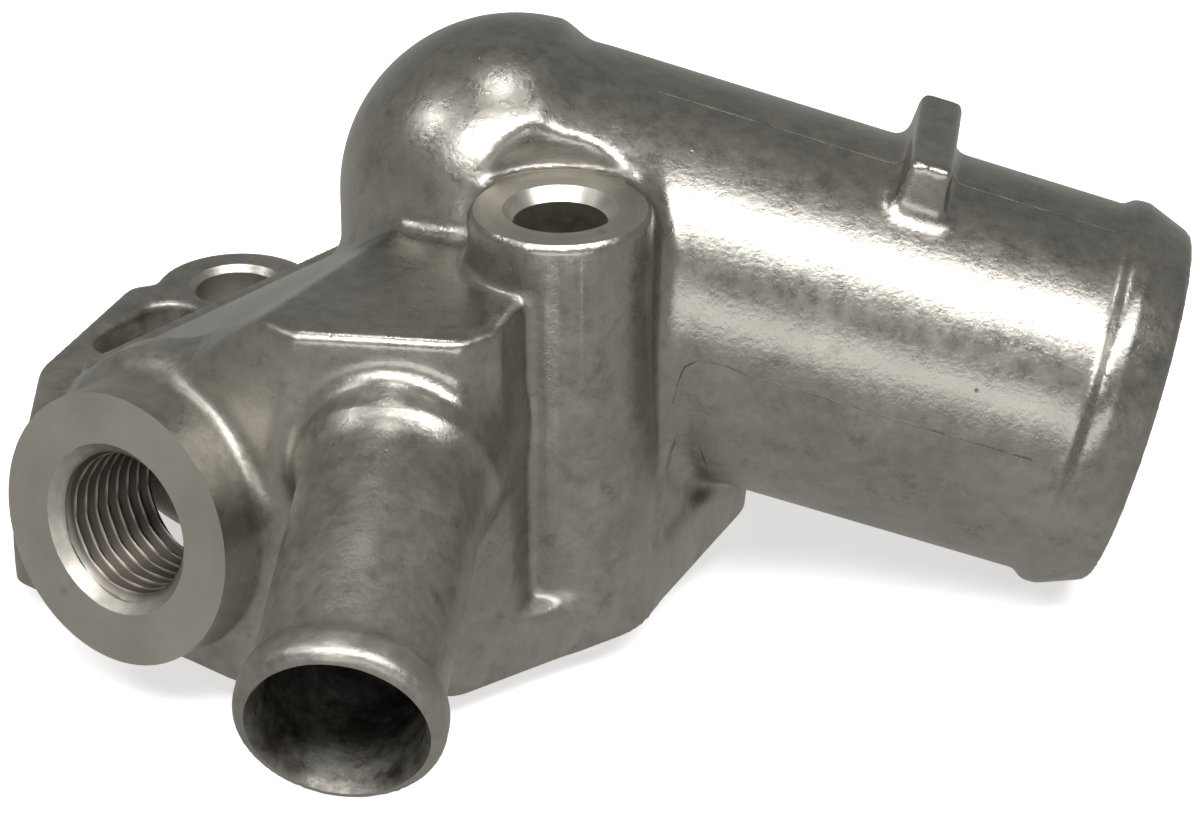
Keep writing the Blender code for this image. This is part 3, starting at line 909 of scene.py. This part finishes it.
def node_tree(name, sockets):
    """Geometry node group with named inputs."""
    tree = bpy.data.node_groups.new(name, "GeometryNodeTree")
    tree.interface.new_socket(name="Geometry", in_out="INPUT", socket_type="NodeSocketGeometry")
    for label, kind, value in sockets:
        item = tree.interface.new_socket(name=label, in_out="INPUT", socket_type=kind)
        if value is not None:
            item.default_value = value
    tree.interface.new_socket(name="Geometry", in_out="OUTPUT", socket_type="NodeSocketGeometry")
    return tree


def dressed(tree, geometry, surface):
    """End a tree in real geometry with its material."""
    add, link = tree.nodes.new, tree.links.new
    real = add("GeometryNodeRealizeInstances")
    link(geometry, real.inputs[0])
    dress = add("GeometryNodeSetMaterial")
    link(real.outputs[0], dress.inputs["Geometry"])
    link(surface, dress.inputs["Material"])
    link(dress.outputs[0], add("NodeGroupOutput").inputs[0])


def grown(name, tree, values, start=None):
    """Plain mesh object from a geometry node group and the values of its inputs."""
    piece = linked(name, start or bpy.data.meshes.new(name))
    modifier = piece.modifiers.new(name, "NODES")
    modifier.node_group = tree
    for item in tree.interface.items_tree:
        if item.in_out == "INPUT" and item.name in values:
            modifier[item.identifier] = values[item.name]
    return baked(piece)


def tapped_tree():
    """Node group of the port's cutter: lead-in, helical thread and the wider core behind it."""
    tree = node_tree("tapped bore", [
        ("Crest Radius", "NodeSocketFloat", THREAD_CREST_RADIUS * MM),
        ("Height", "NodeSocketFloat", THREAD_HEIGHT * MM),
        ("Pitch", "NodeSocketFloat", THREAD_PITCH * MM),
        ("Tapped Depth", "NodeSocketFloat", TAPPED_DEPTH * MM),
        ("Core Radius", "NodeSocketFloat", PORT_CORE_RADIUS * MM),
        ("Lead In", "NodeSocketFloat", PORT_LEAD_IN * MM),
        ("Lead In Depth", "NodeSocketFloat", PORT_LEAD_IN_DEPTH * MM),
        ("Surface", "NodeSocketMaterial", None),
    ])
    add, link = tree.nodes.new, tree.links.new
    given = add("NodeGroupInput").outputs
    length = (PORT_DEPTH + OVERLAP) * MM

    def worked(operation, *values):
        result = add("ShaderNodeMath")
        result.operation = operation
        for socket, value in zip(result.inputs, values):
            if isinstance(value, bpy.types.NodeSocket):
                link(value, socket)
            else:
                socket.default_value = value
        return result.outputs[0]

    rod = add("GeometryNodeMeshCylinder")
    rod.inputs["Vertices"].default_value = THREAD_STEPS_ROUND
    rod.inputs["Side Segments"].default_value = THREAD_STEPS_ALONG
    rod.inputs["Radius"].default_value = THREAD_CREST_RADIUS * MM
    rod.inputs["Depth"].default_value = length
    parts = add("ShaderNodeSeparateXYZ")
    link(add("GeometryNodeInputPosition").outputs[0], parts.inputs[0])
    x, y, z = parts.outputs
    along = worked("SUBTRACT", z, length / 2 - OVERLAP * MM)
    angle = worked("DIVIDE", worked("ARCTAN2", y, x), 2 * math.pi)
    phase = worked("SUBTRACT", worked("DIVIDE", along, given["Pitch"]), angle)
    wave = worked("MULTIPLY", worked("PINGPONG", phase, 0.5), 2.0)
    ridged = worked("ADD", given["Crest Radius"], worked("MULTIPLY", wave, given["Height"]))
    slope = worked("DIVIDE", given["Lead In"], given["Lead In Depth"])
    mouth = worked("ADD", given["Crest Radius"], given["Lead In"])
    cone = worked("ADD", mouth, worked("MULTIPLY", along, slope))
    radius = worked("MAXIMUM", ridged, cone)
    behind = worked("LESS_THAN", along, worked("MULTIPLY", given["Tapped Depth"], -1.0))
    widening = worked("MULTIPLY", behind, worked("SUBTRACT", given["Core Radius"], radius))
    share = worked("DIVIDE", worked("ADD", radius, widening), THREAD_CREST_RADIUS * MM)
    place = add("ShaderNodeCombineXYZ")
    link(worked("MULTIPLY", x, share), place.inputs[0])
    link(worked("MULTIPLY", y, share), place.inputs[1])
    link(along, place.inputs[2])
    form = add("GeometryNodeSetPosition")
    link(rod.outputs["Mesh"], form.inputs["Geometry"])
    link(place.outputs[0], form.inputs["Position"])
    dressed(tree, form.outputs[0], given["Surface"])
    return tree


def tapped_bore(pitch, surface):
    """Cutter for the port."""
    piece = grown("tapped bore", tapped_tree(), {"Pitch": pitch, "Surface": surface})
    piece.data.transform(placed(PORT_CENTRE, PORT_AXIS))
    return piece


def remove_metal(piece, cutters):
    """Machine a piece with its cutters, then delete them."""
    for tool in cutters:
        step = piece.modifiers.new("machining", "BOOLEAN")
        step.operation = "DIFFERENCE"
        step.solver = "MANIFOLD"
        step.material_mode = "TRANSFER"
        step.object = tool
    baked(piece)
    for tool in cutters:
        mesh = tool.data
        bpy.data.objects.remove(tool)
        bpy.data.meshes.remove(mesh)


# Materials.
class Surface:
    """Short way to build a node material."""

    def __init__(self, name, metallic=1.0):
        self.material = bpy.data.materials.new(name)
        self.material.use_nodes = True
        self.tree = self.material.node_tree
        self.shader = self.tree.nodes["Principled BSDF"]
        self.shader.inputs["Metallic"].default_value = metallic
        self.place = self.node("ShaderNodeTexCoord").outputs["Object"]

    def node(self, kind, settings=None, inputs=None):
        result = self.tree.nodes.new(kind)
        for key, value in (settings or {}).items():
            setattr(result, key, value)
        for key, value in (inputs or {}).items():
            if isinstance(value, bpy.types.NodeSocket):
                self.tree.links.new(value, result.inputs[key])
            else:
                result.inputs[key].default_value = value
        return result

    def noise(self, size, detail=3.0, roughness=0.55, place=None):
        """Cloudy noise with features of a size in millimetres."""
        return self.node("ShaderNodeTexNoise", None, {
            "Vector": place or self.place, "Scale": 1 / (size * MM), "Detail": detail, "Roughness": roughness,
        }).outputs["Fac"]

    def spots(self, size, spread, reach=0.42):
        """Soft round spots, one to a cell of a size in millimetres."""
        cells = self.node("ShaderNodeTexVoronoi", None, {
            "Vector": self.place, "Scale": 1 / (size * MM), "Randomness": 1.0,
        })
        pick = self.math("GREATER_THAN", cells.outputs["Color"], 1 - spread)
        near = self.ramp(cells.outputs["Distance"], 0.05, reach, 1, 0)
        return self.math("MULTIPLY", near, pick)

    def about_axis(self, origin, axis):
        """Distance from an axis, and place along it."""
        centred = self.node("ShaderNodeMapping", {"vector_type": "TEXTURE"}, {
            "Vector": self.place,
            "Location": Vector(origin) * MM,
            "Rotation": Vector(axis).to_track_quat("Z", "Y").to_euler(),
        }).outputs[0]
        x, y, along = self.node("ShaderNodeSeparateXYZ", None, {0: centred}).outputs
        squares = self.math("ADD", self.math("POWER", x, 2.0), self.math("POWER", y, 2.0))
        return self.math("SQRT", squares), along

    def math(self, operation, first, second=0.0):
        return self.node("ShaderNodeMath", {"operation": operation}, {0: first, 1: second}).outputs[0]

    def ramp(self, value, low, high, start=0.0, end=1.0):
        """Value between two limits, carried to another range."""
        return self.node("ShaderNodeMapRange", {"clamp": True}, {
            "Value": value, "From Min": low, "From Max": high, "To Min": start, "To Max": end,
        }).outputs[0]

    def mix(self, share, first, second):
        """Blend of two colours, each a property's value or a socket."""
        ends = [item if isinstance(item, bpy.types.NodeSocket) else (*item, 1) for item in (first, second)]
        inputs = {0: share, 6: ends[0], 7: ends[1]}
        return self.node("ShaderNodeMix", {"data_type": "RGBA"}, inputs).outputs[2]

    def bump(self, height, distance, before=None):
        """Bump whose height is in millimetres, over an earlier one."""
        inputs = {"Height": height, "Distance": distance * MM}
        if before is not None:
            inputs["Normal"] = before
        return self.node("ShaderNodeBump", None, inputs).outputs[0]

    def complete(self, **outputs):
        """Link the shader's inputs, named in small letters, and give the material."""
        for name, output in outputs.items():
            self.tree.links.new(output, self.shader.inputs[name.replace("_", " ").title()])
        return self.material


def cast_skin(finish):
    """Die-cast aluminium skin: mottled, faintly pitted and stained, with painted shade darkening its corners
    and recesses.
    """
    skin = Surface("cast_skin")
    broad = skin.noise(14, 4)
    mottle = skin.noise(1.8, 7, 0.68)
    pits = skin.spots(1.1, 0.08, 0.2)
    stains = skin.ramp(skin.noise(4, 9, 0.78), 0.53, 0.66)
    tone = skin.math("ADD", skin.math("MULTIPLY", broad, 0.55), skin.math("MULTIPLY", mottle, 0.45))
    base = skin.mix(skin.ramp(tone, 0.36, 0.64), finish.dark_colour, finish.light_colour)
    base = skin.mix(skin.math("MULTIPLY", stains, 0.42), base, finish.stain_and_shade_colour)
    # Painted shade: the stored occlusion darkens corners, creases and recesses towards the stain colour and
    # makes them rougher.
    occlusion_shade = skin.node("ShaderNodeAttribute", {"attribute_name": "occlusion_shade"}).outputs["Fac"]
    corner = skin.ramp(occlusion_shade, 0.15, 0.75)
    corner_shade = skin.math("MULTIPLY", corner, skin.ramp(mottle, 0.3, 0.7, 0.55, 1.0))
    base = skin.mix(corner_shade, base, finish.stain_and_shade_colour)
    base = skin.mix(skin.math("MULTIPLY", pits, 0.6), base, finish.stain_and_shade_colour)
    parts = skin.node("ShaderNodeSeparateXYZ", None, {0: skin.place})
    lean = skin.math("MULTIPLY", parts.outputs[0], math.tan(NECK_SLOPE))
    level = skin.math("ADD", parts.outputs[2], lean)
    axis_level = (ELBOW_POINT[2] + ELBOW_POINT[0] * math.tan(NECK_SLOPE)) * MM
    dull = skin.ramp(level, axis_level - 6 * MM, axis_level + 2 * MM, 0.12, 0.0)
    even = skin.ramp(mottle, 0.3, 0.7, finish.roughness - 0.04, finish.roughness + 0.06)
    rough = skin.math("ADD", even, skin.math("MULTIPLY", corner_shade, 0.35))
    relief = skin.bump(skin.noise(4.5, 2), 0.03)
    relief = skin.bump(mottle, 0.03, relief)
    relief = skin.bump(skin.noise(0.8, 2, 0.5), 0.024, relief)
    relief = skin.bump(skin.noise(0.45, 3, 0.6), 0.02, relief)
    relief = skin.bump(skin.math("MULTIPLY", pits, -1.0), 0.05, relief)
    return skin.complete(base_color=base, roughness=skin.math("ADD", rough, dull), normal=relief)


def seam_skin(finish):
    """Skin of the line that the die's joint leaves, coloured dark as painted shade of its crease."""
    skin = Surface("seam_skin")
    patchy = skin.noise(3, 4, 0.6)
    # Painted shade: the seam is darkened to stand for the shade in its crease.
    base = skin.mix(skin.ramp(patchy, 0.4, 0.6), finish.stain_and_shade_colour, finish.dark_colour)
    rough = skin.ramp(patchy, 0.3, 0.7, 0.7, 0.85)
    relief = skin.bump(skin.noise(0.5, 3), 0.02)
    return skin.complete(base_color=base, roughness=rough, normal=relief)


def turned_face(name, finish, origin, axis):
    """Machined face with fine rings about an axis."""
    face = Surface(name)
    radius, along = face.about_axis(origin, axis)
    ring = face.node("ShaderNodeCombineXYZ", None, {0: radius, 1: along}).outputs[0]
    rings = face.noise(0.22, 2, 0.7, ring)
    scratch = face.noise(1.2, 5, 0.7)
    tone = face.math("ADD", face.math("MULTIPLY", rings, 0.35), face.math("MULTIPLY", face.noise(9, 3), 0.65))
    base = face.mix(face.ramp(tone, 0.35, 0.65), finish.cut_dark_colour, finish.cut_colour)
    base = face.mix(face.math("MULTIPLY", face.spots(1.9, 0.16), 0.4), base, finish.stain_and_shade_colour)
    rough = face.ramp(scratch, 0.3, 0.7, finish.cut_roughness - 0.05, finish.cut_roughness + 0.1)
    relief = face.bump(scratch, 0.012, face.bump(rings, 0.012))
    return face.complete(base_color=base, roughness=rough, normal=relief)


def tapped_wall(finish):
    """Inside of the port: machined metal with painted shade, darker in the thread's valleys and deeper into
    the bore, so the lead-in and crests stay light.
    """
    wall = Surface("tapped_wall")
    radius, along = wall.about_axis(PORT_CENTRE, PORT_AXIS)
    # Painted shade: the wall darkens towards the bore film colour deeper into the port and in the thread's
    # valleys.
    inside = wall.ramp(along, -PORT_LEAD_IN_DEPTH * MM, (1 - PORT_LEAD_IN_DEPTH) * MM, 1.0, 0.0)
    crest = THREAD_CREST_RADIUS
    valley_shade = wall.ramp(radius, (crest + 0.02) * MM, (crest + 0.22) * MM, 0.15, 1.0)
    worn = wall.noise(1.6, 4, 0.6)
    base = wall.mix(wall.ramp(worn, 0.35, 0.65), finish.cut_dark_colour, finish.cut_colour)
    base = wall.mix(wall.math("MULTIPLY", inside, valley_shade), base, finish.bore_film_and_shade_colour)
    rough = wall.ramp(inside, 0, 1, 0.46, 0.5)
    return wall.complete(base_color=base, roughness=rough, normal=wall.bump(worn, 0.012))


def cored_wall(finish):
    """Inside of the bores: a darker, rougher skin with stains."""
    wall = Surface("cored_wall")
    mottle = wall.noise(1.4, 4, 0.6)
    stains = wall.ramp(wall.noise(6, 5, 0.65), 0.40, 0.58, 0, 0.9)
    base = wall.mix(stains, finish.dark_colour, finish.bore_film_and_shade_colour)
    rough = wall.ramp(mottle, 0.3, 0.7, 0.42, 0.66)
    return wall.complete(base_color=base, roughness=rough, normal=wall.bump(mottle, 0.09))


def pale_floor():
    """White floor that glows a little, so that it stays pale."""
    ground = Surface("pale_floor", 0.0)
    inputs = ground.shader.inputs
    inputs["Base Color"].default_value = (0.9, 0.9, 0.9, 1)
    inputs["Roughness"].default_value = 0.9
    inputs["Emission Color"].default_value = (1, 1, 1, 1)
    inputs["Emission Strength"].default_value = FLOOR_GLOW
    return ground.material


# Sizes and finishes that the panel shows.
class HousingSizes(PropertyGroup):
    fillet: FloatProperty(
        name="Casting Fillet", description="Radius of the fillets between the casting's parts",
        default=1.6 * MM, min=0.5 * MM, max=4 * MM, unit="LENGTH")
    cell: FloatProperty(
        name="Cell", description="Spacing of the grid on which the casting is drawn",
        default=0.45 * MM, min=0.3 * MM, max=2 * MM, unit="LENGTH")
    quick_cell: FloatProperty(
        name="Quick Cell", description="Spacing of the grid for quick looks",
        default=0.8 * MM, min=0.3 * MM, max=3 * MM, unit="LENGTH")
    triangles: IntProperty(
        name="Triangles", description="Most triangles that the casting's skin is thinned to",
        default=150000, min=20000, max=190000)
    seam_radius: FloatProperty(
        name="Seam Radius", description="Radius of the raised line that the die's joint leaves",
        default=SEAM_RADIUS * MM, min=0.05 * MM, max=0.6 * MM, unit="LENGTH")
    thread_pitch: FloatProperty(
        name="Thread Pitch", description="Distance between two ridges of the port's thread",
        default=THREAD_PITCH * MM, min=0.5 * MM, max=3 * MM, unit="LENGTH")


class HousingFinish(PropertyGroup):
    light_colour: FloatVectorProperty(
        name="Light Skin", description="Lighter tone of the cast skin",
        default=(0.46, 0.44, 0.395), size=3, min=0, max=1, subtype="COLOR")
    dark_colour: FloatVectorProperty(
        name="Dark Skin", description="Darker tone of the cast skin",
        default=(0.30, 0.288, 0.26), size=3, min=0, max=1, subtype="COLOR")
    # Colour of real stains and pits, and also of the painted shade in the skin's corners and on the dark seam
    # lines.
    stain_and_shade_colour: FloatVectorProperty(
        name="Stain", description="Dirt and oxide in corners and pits",
        default=(0.13, 0.125, 0.11), size=3, min=0, max=1, subtype="COLOR")
    # Colour of the stains in the cored bores, and also of the painted shade in the port's thread valleys and
    # deep in the port.
    bore_film_and_shade_colour: FloatVectorProperty(
        name="Bore Film", description="Brown film in the thread's valleys and the bores",
        default=(0.085, 0.073, 0.06), size=3, min=0, max=1, subtype="COLOR")
    cut_colour: FloatVectorProperty(
        name="Machined", description="Lighter tone of the machined faces",
        default=(0.56, 0.535, 0.48), size=3, min=0, max=1, subtype="COLOR")
    cut_dark_colour: FloatVectorProperty(
        name="Machined Dark", description="Darker tone of the machined faces",
        default=(0.44, 0.42, 0.375), size=3, min=0, max=1, subtype="COLOR")
    roughness: FloatProperty(
        name="Skin Roughness", description="Roughness of the cast skin",
        default=0.28, min=0, max=1, subtype="FACTOR")
    cut_roughness: FloatProperty(
        name="Machined Roughness", description="Roughness of the machined faces",
        default=0.34, min=0, max=1, subtype="FACTOR")


# Operators.
class HOUSING_OT_casting(Operator):
    """Build the casting with its fillets, then machine its faces, bores and chamfers"""

    bl_idname = "housing.casting"
    bl_label = "Casting"

    def execute(self, context):
        sizes = context.scene.housing_sizes
        finish = context.scene.housing_finish
        cell = sizes.cell / MM
        metal = casting_form(cell, sizes.fillet / MM)
        points, quads = metal.skin()
        casting = mesh_object("casting", points, quads)
        casting.data.materials.append(cast_skin(finish))
        thin = casting.modifiers.new("thinning", "DECIMATE")
        thin.ratio = min(1.0, sizes.triangles / (2 * len(quads)))
        baked(casting)
        remove_metal(casting, self.tools(sizes, finish))
        mesh = casting.data
        mesh.shade_smooth()
        mesh.set_sharp_from_angle(angle=math.radians(29))
        # Occlusion for the painted shade in the skin's corners.
        self.occlusion_shade(casting, metal)
        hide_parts(CAD_NODE)
        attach(casting, BODY)
        return {"FINISHED"}

    def tools(self, sizes, finish):
        """Cutters for everything that is machined."""
        column = (*COLUMN_BOLT, 0)
        ear = (*EAR_BOLT, 0)
        base_face = turned_face("milled_base", finish, ORIGIN, UPWARD)
        port_face = turned_face("turned_port", finish, PORT_CENTRE, PORT_AXIS)
        column_face = turned_face("turned_column", finish, column, UPWARD)
        ear_face = turned_face("turned_ear", finish, ear, UPWARD)
        wall = cored_wall(finish)
        boss, hole = PORT_BOSS_RADIUS + 3, BOLT_HOLE_RADIUS
        seat_cut = [(-OVERLAP, SEAT_RADIUS), (SEAT_DEPTH, SEAT_RADIUS)]
        boss_cut = [(0, boss), (4, boss)]
        column_cut = [(COLUMN_HEIGHT, COLUMN_RADIUS + 0.25), (COLUMN_HEIGHT + 2, COLUMN_RADIUS + 0.25)]
        column_bore = [
            (-OVERLAP, hole),
            (COLUMN_HEIGHT - COLUMN_LEAD_IN_DEPTH, hole),
            (COLUMN_HEIGHT, hole + COLUMN_LEAD_IN),
            (COLUMN_HEIGHT + OVERLAP, hole + COLUMN_LEAD_IN + 0.8),
        ]
        ear_bore = [
            (-OVERLAP, hole),
            (EAR_THICKNESS - EAR_LEAD_IN, hole),
            (EAR_THICKNESS + OVERLAP, hole + EAR_LEAD_IN + OVERLAP),
        ]
        neck_bore = [
            (2, NECK_BORE_RADIUS),
            (NECK_LENGTH - NECK_LEAD_IN, NECK_BORE_RADIUS),
            (NECK_LENGTH + NECK_LEAD_IN, NECK_BORE_RADIUS + NECK_LEAD_IN),
        ]
        spigot_bore = [
            (-9, SPIGOT_BORE_RADIUS),
            (SPIGOT_LENGTH - SPIGOT_LEAD_IN, SPIGOT_BORE_RADIUS),
            (SPIGOT_LENGTH + SPIGOT_LEAD_IN, SPIGOT_BORE_RADIUS + SPIGOT_LEAD_IN),
        ]
        return [
            slab(MILLED_LOW, MILLED_HIGH, base_face),
            cutter(seat_cut, ORIGIN, UPWARD, base_face),
            cutter(boss_cut, PORT_CENTRE, PORT_AXIS, port_face),
            tapped_bore(sizes.thread_pitch, tapped_wall(finish)),
            cutter(column_cut, column, UPWARD, column_face),
            cutter(column_bore, column, UPWARD, column_face),
            cutter(ear_bore, ear, UPWARD, ear_face),
            cutter(neck_bore, ELBOW_POINT, NECK_AXIS, wall),
            cutter(spigot_bore, SPIGOT_ROOT, SPIGOT_AXIS, wall),
        ]

    def occlusion_shade(self, casting, metal):
        """Store how closed in each point is, for the painted shade that darkens the corners."""
        mesh = casting.data
        count = len(mesh.vertices)
        points = np.zeros(count * 3, dtype=np.float32)
        mesh.vertices.foreach_get("co", points)
        points = points.reshape(-1, 3) / MM
        slope = metal.slope(points)
        slope /= np.maximum(np.linalg.norm(slope, axis=1), 1e-6)[:, None]
        total = np.zeros(count, dtype=np.float32)
        for reach in (1.0, 2.0, 4.0):
            gap = metal.sample(points + slope * reach)
            total += np.clip(1 - gap / reach, 0, 1) / 3
        layer = mesh.attributes.new("occlusion_shade", "FLOAT", "POINT")
        layer.data.foreach_set("value", total)


class HOUSING_OT_seams(Operator):
    """Lay the raised lines that the joint of the die leaves on the casting"""

    bl_idname = "housing.seams"
    bl_label = "Die Seams"

    def execute(self, context):
        sizes = context.scene.housing_sizes
        casting = bpy.data.objects["casting"]
        piece = grown("die_seams", self.tree(), {
            "Radius": sizes.seam_radius,
            "Casting": casting,
            "Surface": seam_skin(context.scene.housing_finish),
        }, self.routes())
        piece.data.shade_smooth()
        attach(piece, BODY)
        return {"FINISHED"}

    def routes(self):
        """Chains of edges near the surface, one for each seam."""
        side_start = ELBOW_POINT + np.array((0, -NECK_RADIUS, SEAM_RISE))
        top_start = ELBOW_POINT + NECK_UP * (NECK_RADIUS - 0.2) + np.array((0, SEAM_OFFSET, 0))
        side = [side_start + NECK_AXIS * along for along in np.linspace(16, NECK_LENGTH - 10, 12)]
        top = [top_start + NECK_AXIS * along for along in np.linspace(6, NECK_LENGTH - 8, 14)]
        turn = [
            (32.3, -23.3, 22.1),
            (32.9, -23.8, 24.6),
            (33.5, -23.9, 26.2),
            (35.0, -23.9, 27.1),
            (37.4, -23.8, 26.6),
        ]
        web = [(34.8, -21.6, 17.1), (35.4, -18.9, 13.0), (35.1, -12.5, 8.0)]
        points = []
        edges = []
        for route in (turn + side[2:], top, web):
            first = len(points)
            points += [tuple(np.array(point) * MM) for point in route]
            edges += [(first + i, first + i + 1) for i in range(len(route) - 1)]
        mesh = bpy.data.meshes.new("die_seams")
        mesh.from_pydata(points, edges, [])
        return mesh

    def tree(self):
        """Node group that lays tubes of uneven width on a surface."""
        tree = node_tree("lines on a surface", [
            ("Radius", "NodeSocketFloat", SEAM_RADIUS * MM),
            ("Casting", "NodeSocketObject", None),
            ("Surface", "NodeSocketMaterial", None),
        ])
        add, link = tree.nodes.new, tree.links.new
        given = add("NodeGroupInput").outputs
        curve = add("GeometryNodeMeshToCurve")
        link(given["Geometry"], curve.inputs["Mesh"])
        fine = add("GeometryNodeResampleCurve")
        fine.mode = "LENGTH"
        fine.inputs["Length"].default_value = SEAM_STEP * MM
        link(curve.outputs[0], fine.inputs["Curve"])
        body = add("GeometryNodeObjectInfo")
        link(given["Casting"], body.inputs["Object"])
        near = add("GeometryNodeProximity")
        near.target_element = "FACES"
        link(body.outputs["Geometry"], near.inputs[0])
        lay = add("GeometryNodeSetPosition")
        link(fine.outputs[0], lay.inputs["Geometry"])
        link(near.outputs["Position"], lay.inputs["Position"])
        uneven = add("ShaderNodeTexNoise")
        uneven.inputs["Scale"].default_value = 260.0
        swell = add("ShaderNodeMapRange")
        link(uneven.outputs[0], swell.inputs["Value"])
        swell.inputs["From Min"].default_value = 0.35
        swell.inputs["From Max"].default_value = 0.65
        swell.inputs["To Min"].default_value = 0.3
        swell.inputs["To Max"].default_value = 1.0
        profile = add("GeometryNodeCurvePrimitiveCircle")
        profile.inputs["Resolution"].default_value = 6
        link(given["Radius"], profile.inputs["Radius"])
        width = add("GeometryNodeSetCurveRadius")
        link(lay.outputs[0], width.inputs["Curve"])
        link(swell.outputs[0], width.inputs["Radius"])
        sweep = add("GeometryNodeCurveToMesh")
        link(width.outputs[0], sweep.inputs["Curve"])
        link(profile.outputs[0], sweep.inputs["Profile Curve"])
        link(swell.outputs[0], sweep.inputs["Scale"])
        sweep.inputs["Fill Caps"].default_value = True
        dressed(tree, sweep.outputs[0], given["Surface"])
        return tree


class HOUSING_OT_stage(Operator):
    """Set the floor, the studio lights and the camera"""

    bl_idname = "housing.stage"
    bl_label = "Stage"

    def execute(self, context):
        scene = context.scene
        scene.view_settings.view_transform = "Standard"
        self.floor()
        scene.world = self.world()
        for name, offset, size, energy in LAMPS:
            self.lamp(name, VIEW_MIDDLE + Vector(offset), size, energy)
        camera = linked("camera", bpy.data.cameras.new("camera"))
        camera.data.sensor_fit = "HORIZONTAL"
        camera.data.sensor_width = 36.0
        camera.data.lens = CAMERA_LENS
        camera.data.clip_start = 0.01
        self.aim(camera, CAMERA_PLACE)
        scene.camera = camera
        return {"FINISHED"}

    def aim(self, item, place):
        """Put a lamp or the camera at a place, facing the middle of the view."""
        item.location = place
        item.rotation_euler = (VIEW_MIDDLE - place).to_track_quat("-Z", "Y").to_euler()

    def world(self):
        """Soft light all round, a little stronger from the pale floor below."""
        world = bpy.data.worlds.new("studio")
        world.use_nodes = True
        nodes, link = world.node_tree.nodes, world.node_tree.links.new
        background = nodes["Background"]
        background.inputs["Color"].default_value = (1.0, 0.985, 0.95, 1)
        parts = nodes.new("ShaderNodeSeparateXYZ")
        link(nodes.new("ShaderNodeTexCoord").outputs["Generated"], parts.inputs[0])
        fade = nodes.new("ShaderNodeMapRange")
        link(parts.outputs[2], fade.inputs["Value"])
        fade.inputs["From Min"].default_value = -0.3
        fade.inputs["From Max"].default_value = 0.3
        fade.inputs["To Min"].default_value = LIGHT_FROM_BELOW
        fade.inputs["To Max"].default_value = LIGHT_FROM_ABOVE
        link(fade.outputs[0], background.inputs["Strength"])
        return world

    def floor(self):
        mesh = bpy.data.meshes.new("floor")
        low = CAD_BOUNDS[0][2] - FLOOR_GAP
        reach = FLOOR_REACH
        corners = [(-reach, -reach, low), (reach, -reach, low), (reach, reach, low), (-reach, reach, low)]
        mesh.from_pydata(corners, [], [(0, 1, 2, 3)])
        mesh.materials.append(pale_floor())
        floor = linked("floor", mesh)
        floor.visible_glossy = False
        return floor

    def lamp(self, name, place, size, energy):
        data = bpy.data.lights.new(name, "AREA")
        data.shape = "RECTANGLE" if size[0] != size[1] else "DISK"
        data.size = size[0]
        data.size_y = size[1]
        data.energy = energy
        self.aim(linked(name, data), place)


class HOUSING_PT_panel(Panel):
    """Lists the housing's pieces and their sizes"""

    bl_idname = "HOUSING_PT_panel"
    bl_label = "Thermostat Housing"
    bl_space_type = "VIEW_3D"
    bl_region_type = "UI"
    bl_category = "Housing"

    def draw(self, context):
        layout = self.layout
        for group in (context.scene.housing_sizes, context.scene.housing_finish):
            for name in group.bl_rna.properties.keys():
                if name not in ("rna_type", "name"):
                    layout.prop(group, name)
        for step in STEPS:
            layout.operator(step.bl_idname)


STEPS = (HOUSING_OT_casting, HOUSING_OT_seams, HOUSING_OT_stage)
CLASSES = (HousingSizes, HousingFinish, *STEPS, HOUSING_PT_panel)


def register():
    for item in CLASSES:
        bpy.utils.register_class(item)
    bpy.types.Scene.housing_sizes = PointerProperty(type=HousingSizes)
    bpy.types.Scene.housing_finish = PointerProperty(type=HousingFinish)


def unregister():
    del bpy.types.Scene.housing_finish
    del bpy.types.Scene.housing_sizes
    for item in reversed(CLASSES):
        bpy.utils.unregister_class(item)


def main():
    register()
    bpy.ops.housing.casting()
    bpy.ops.housing.seams()
    bpy.ops.housing.stage()


if __name__ == "__main__":
    main()
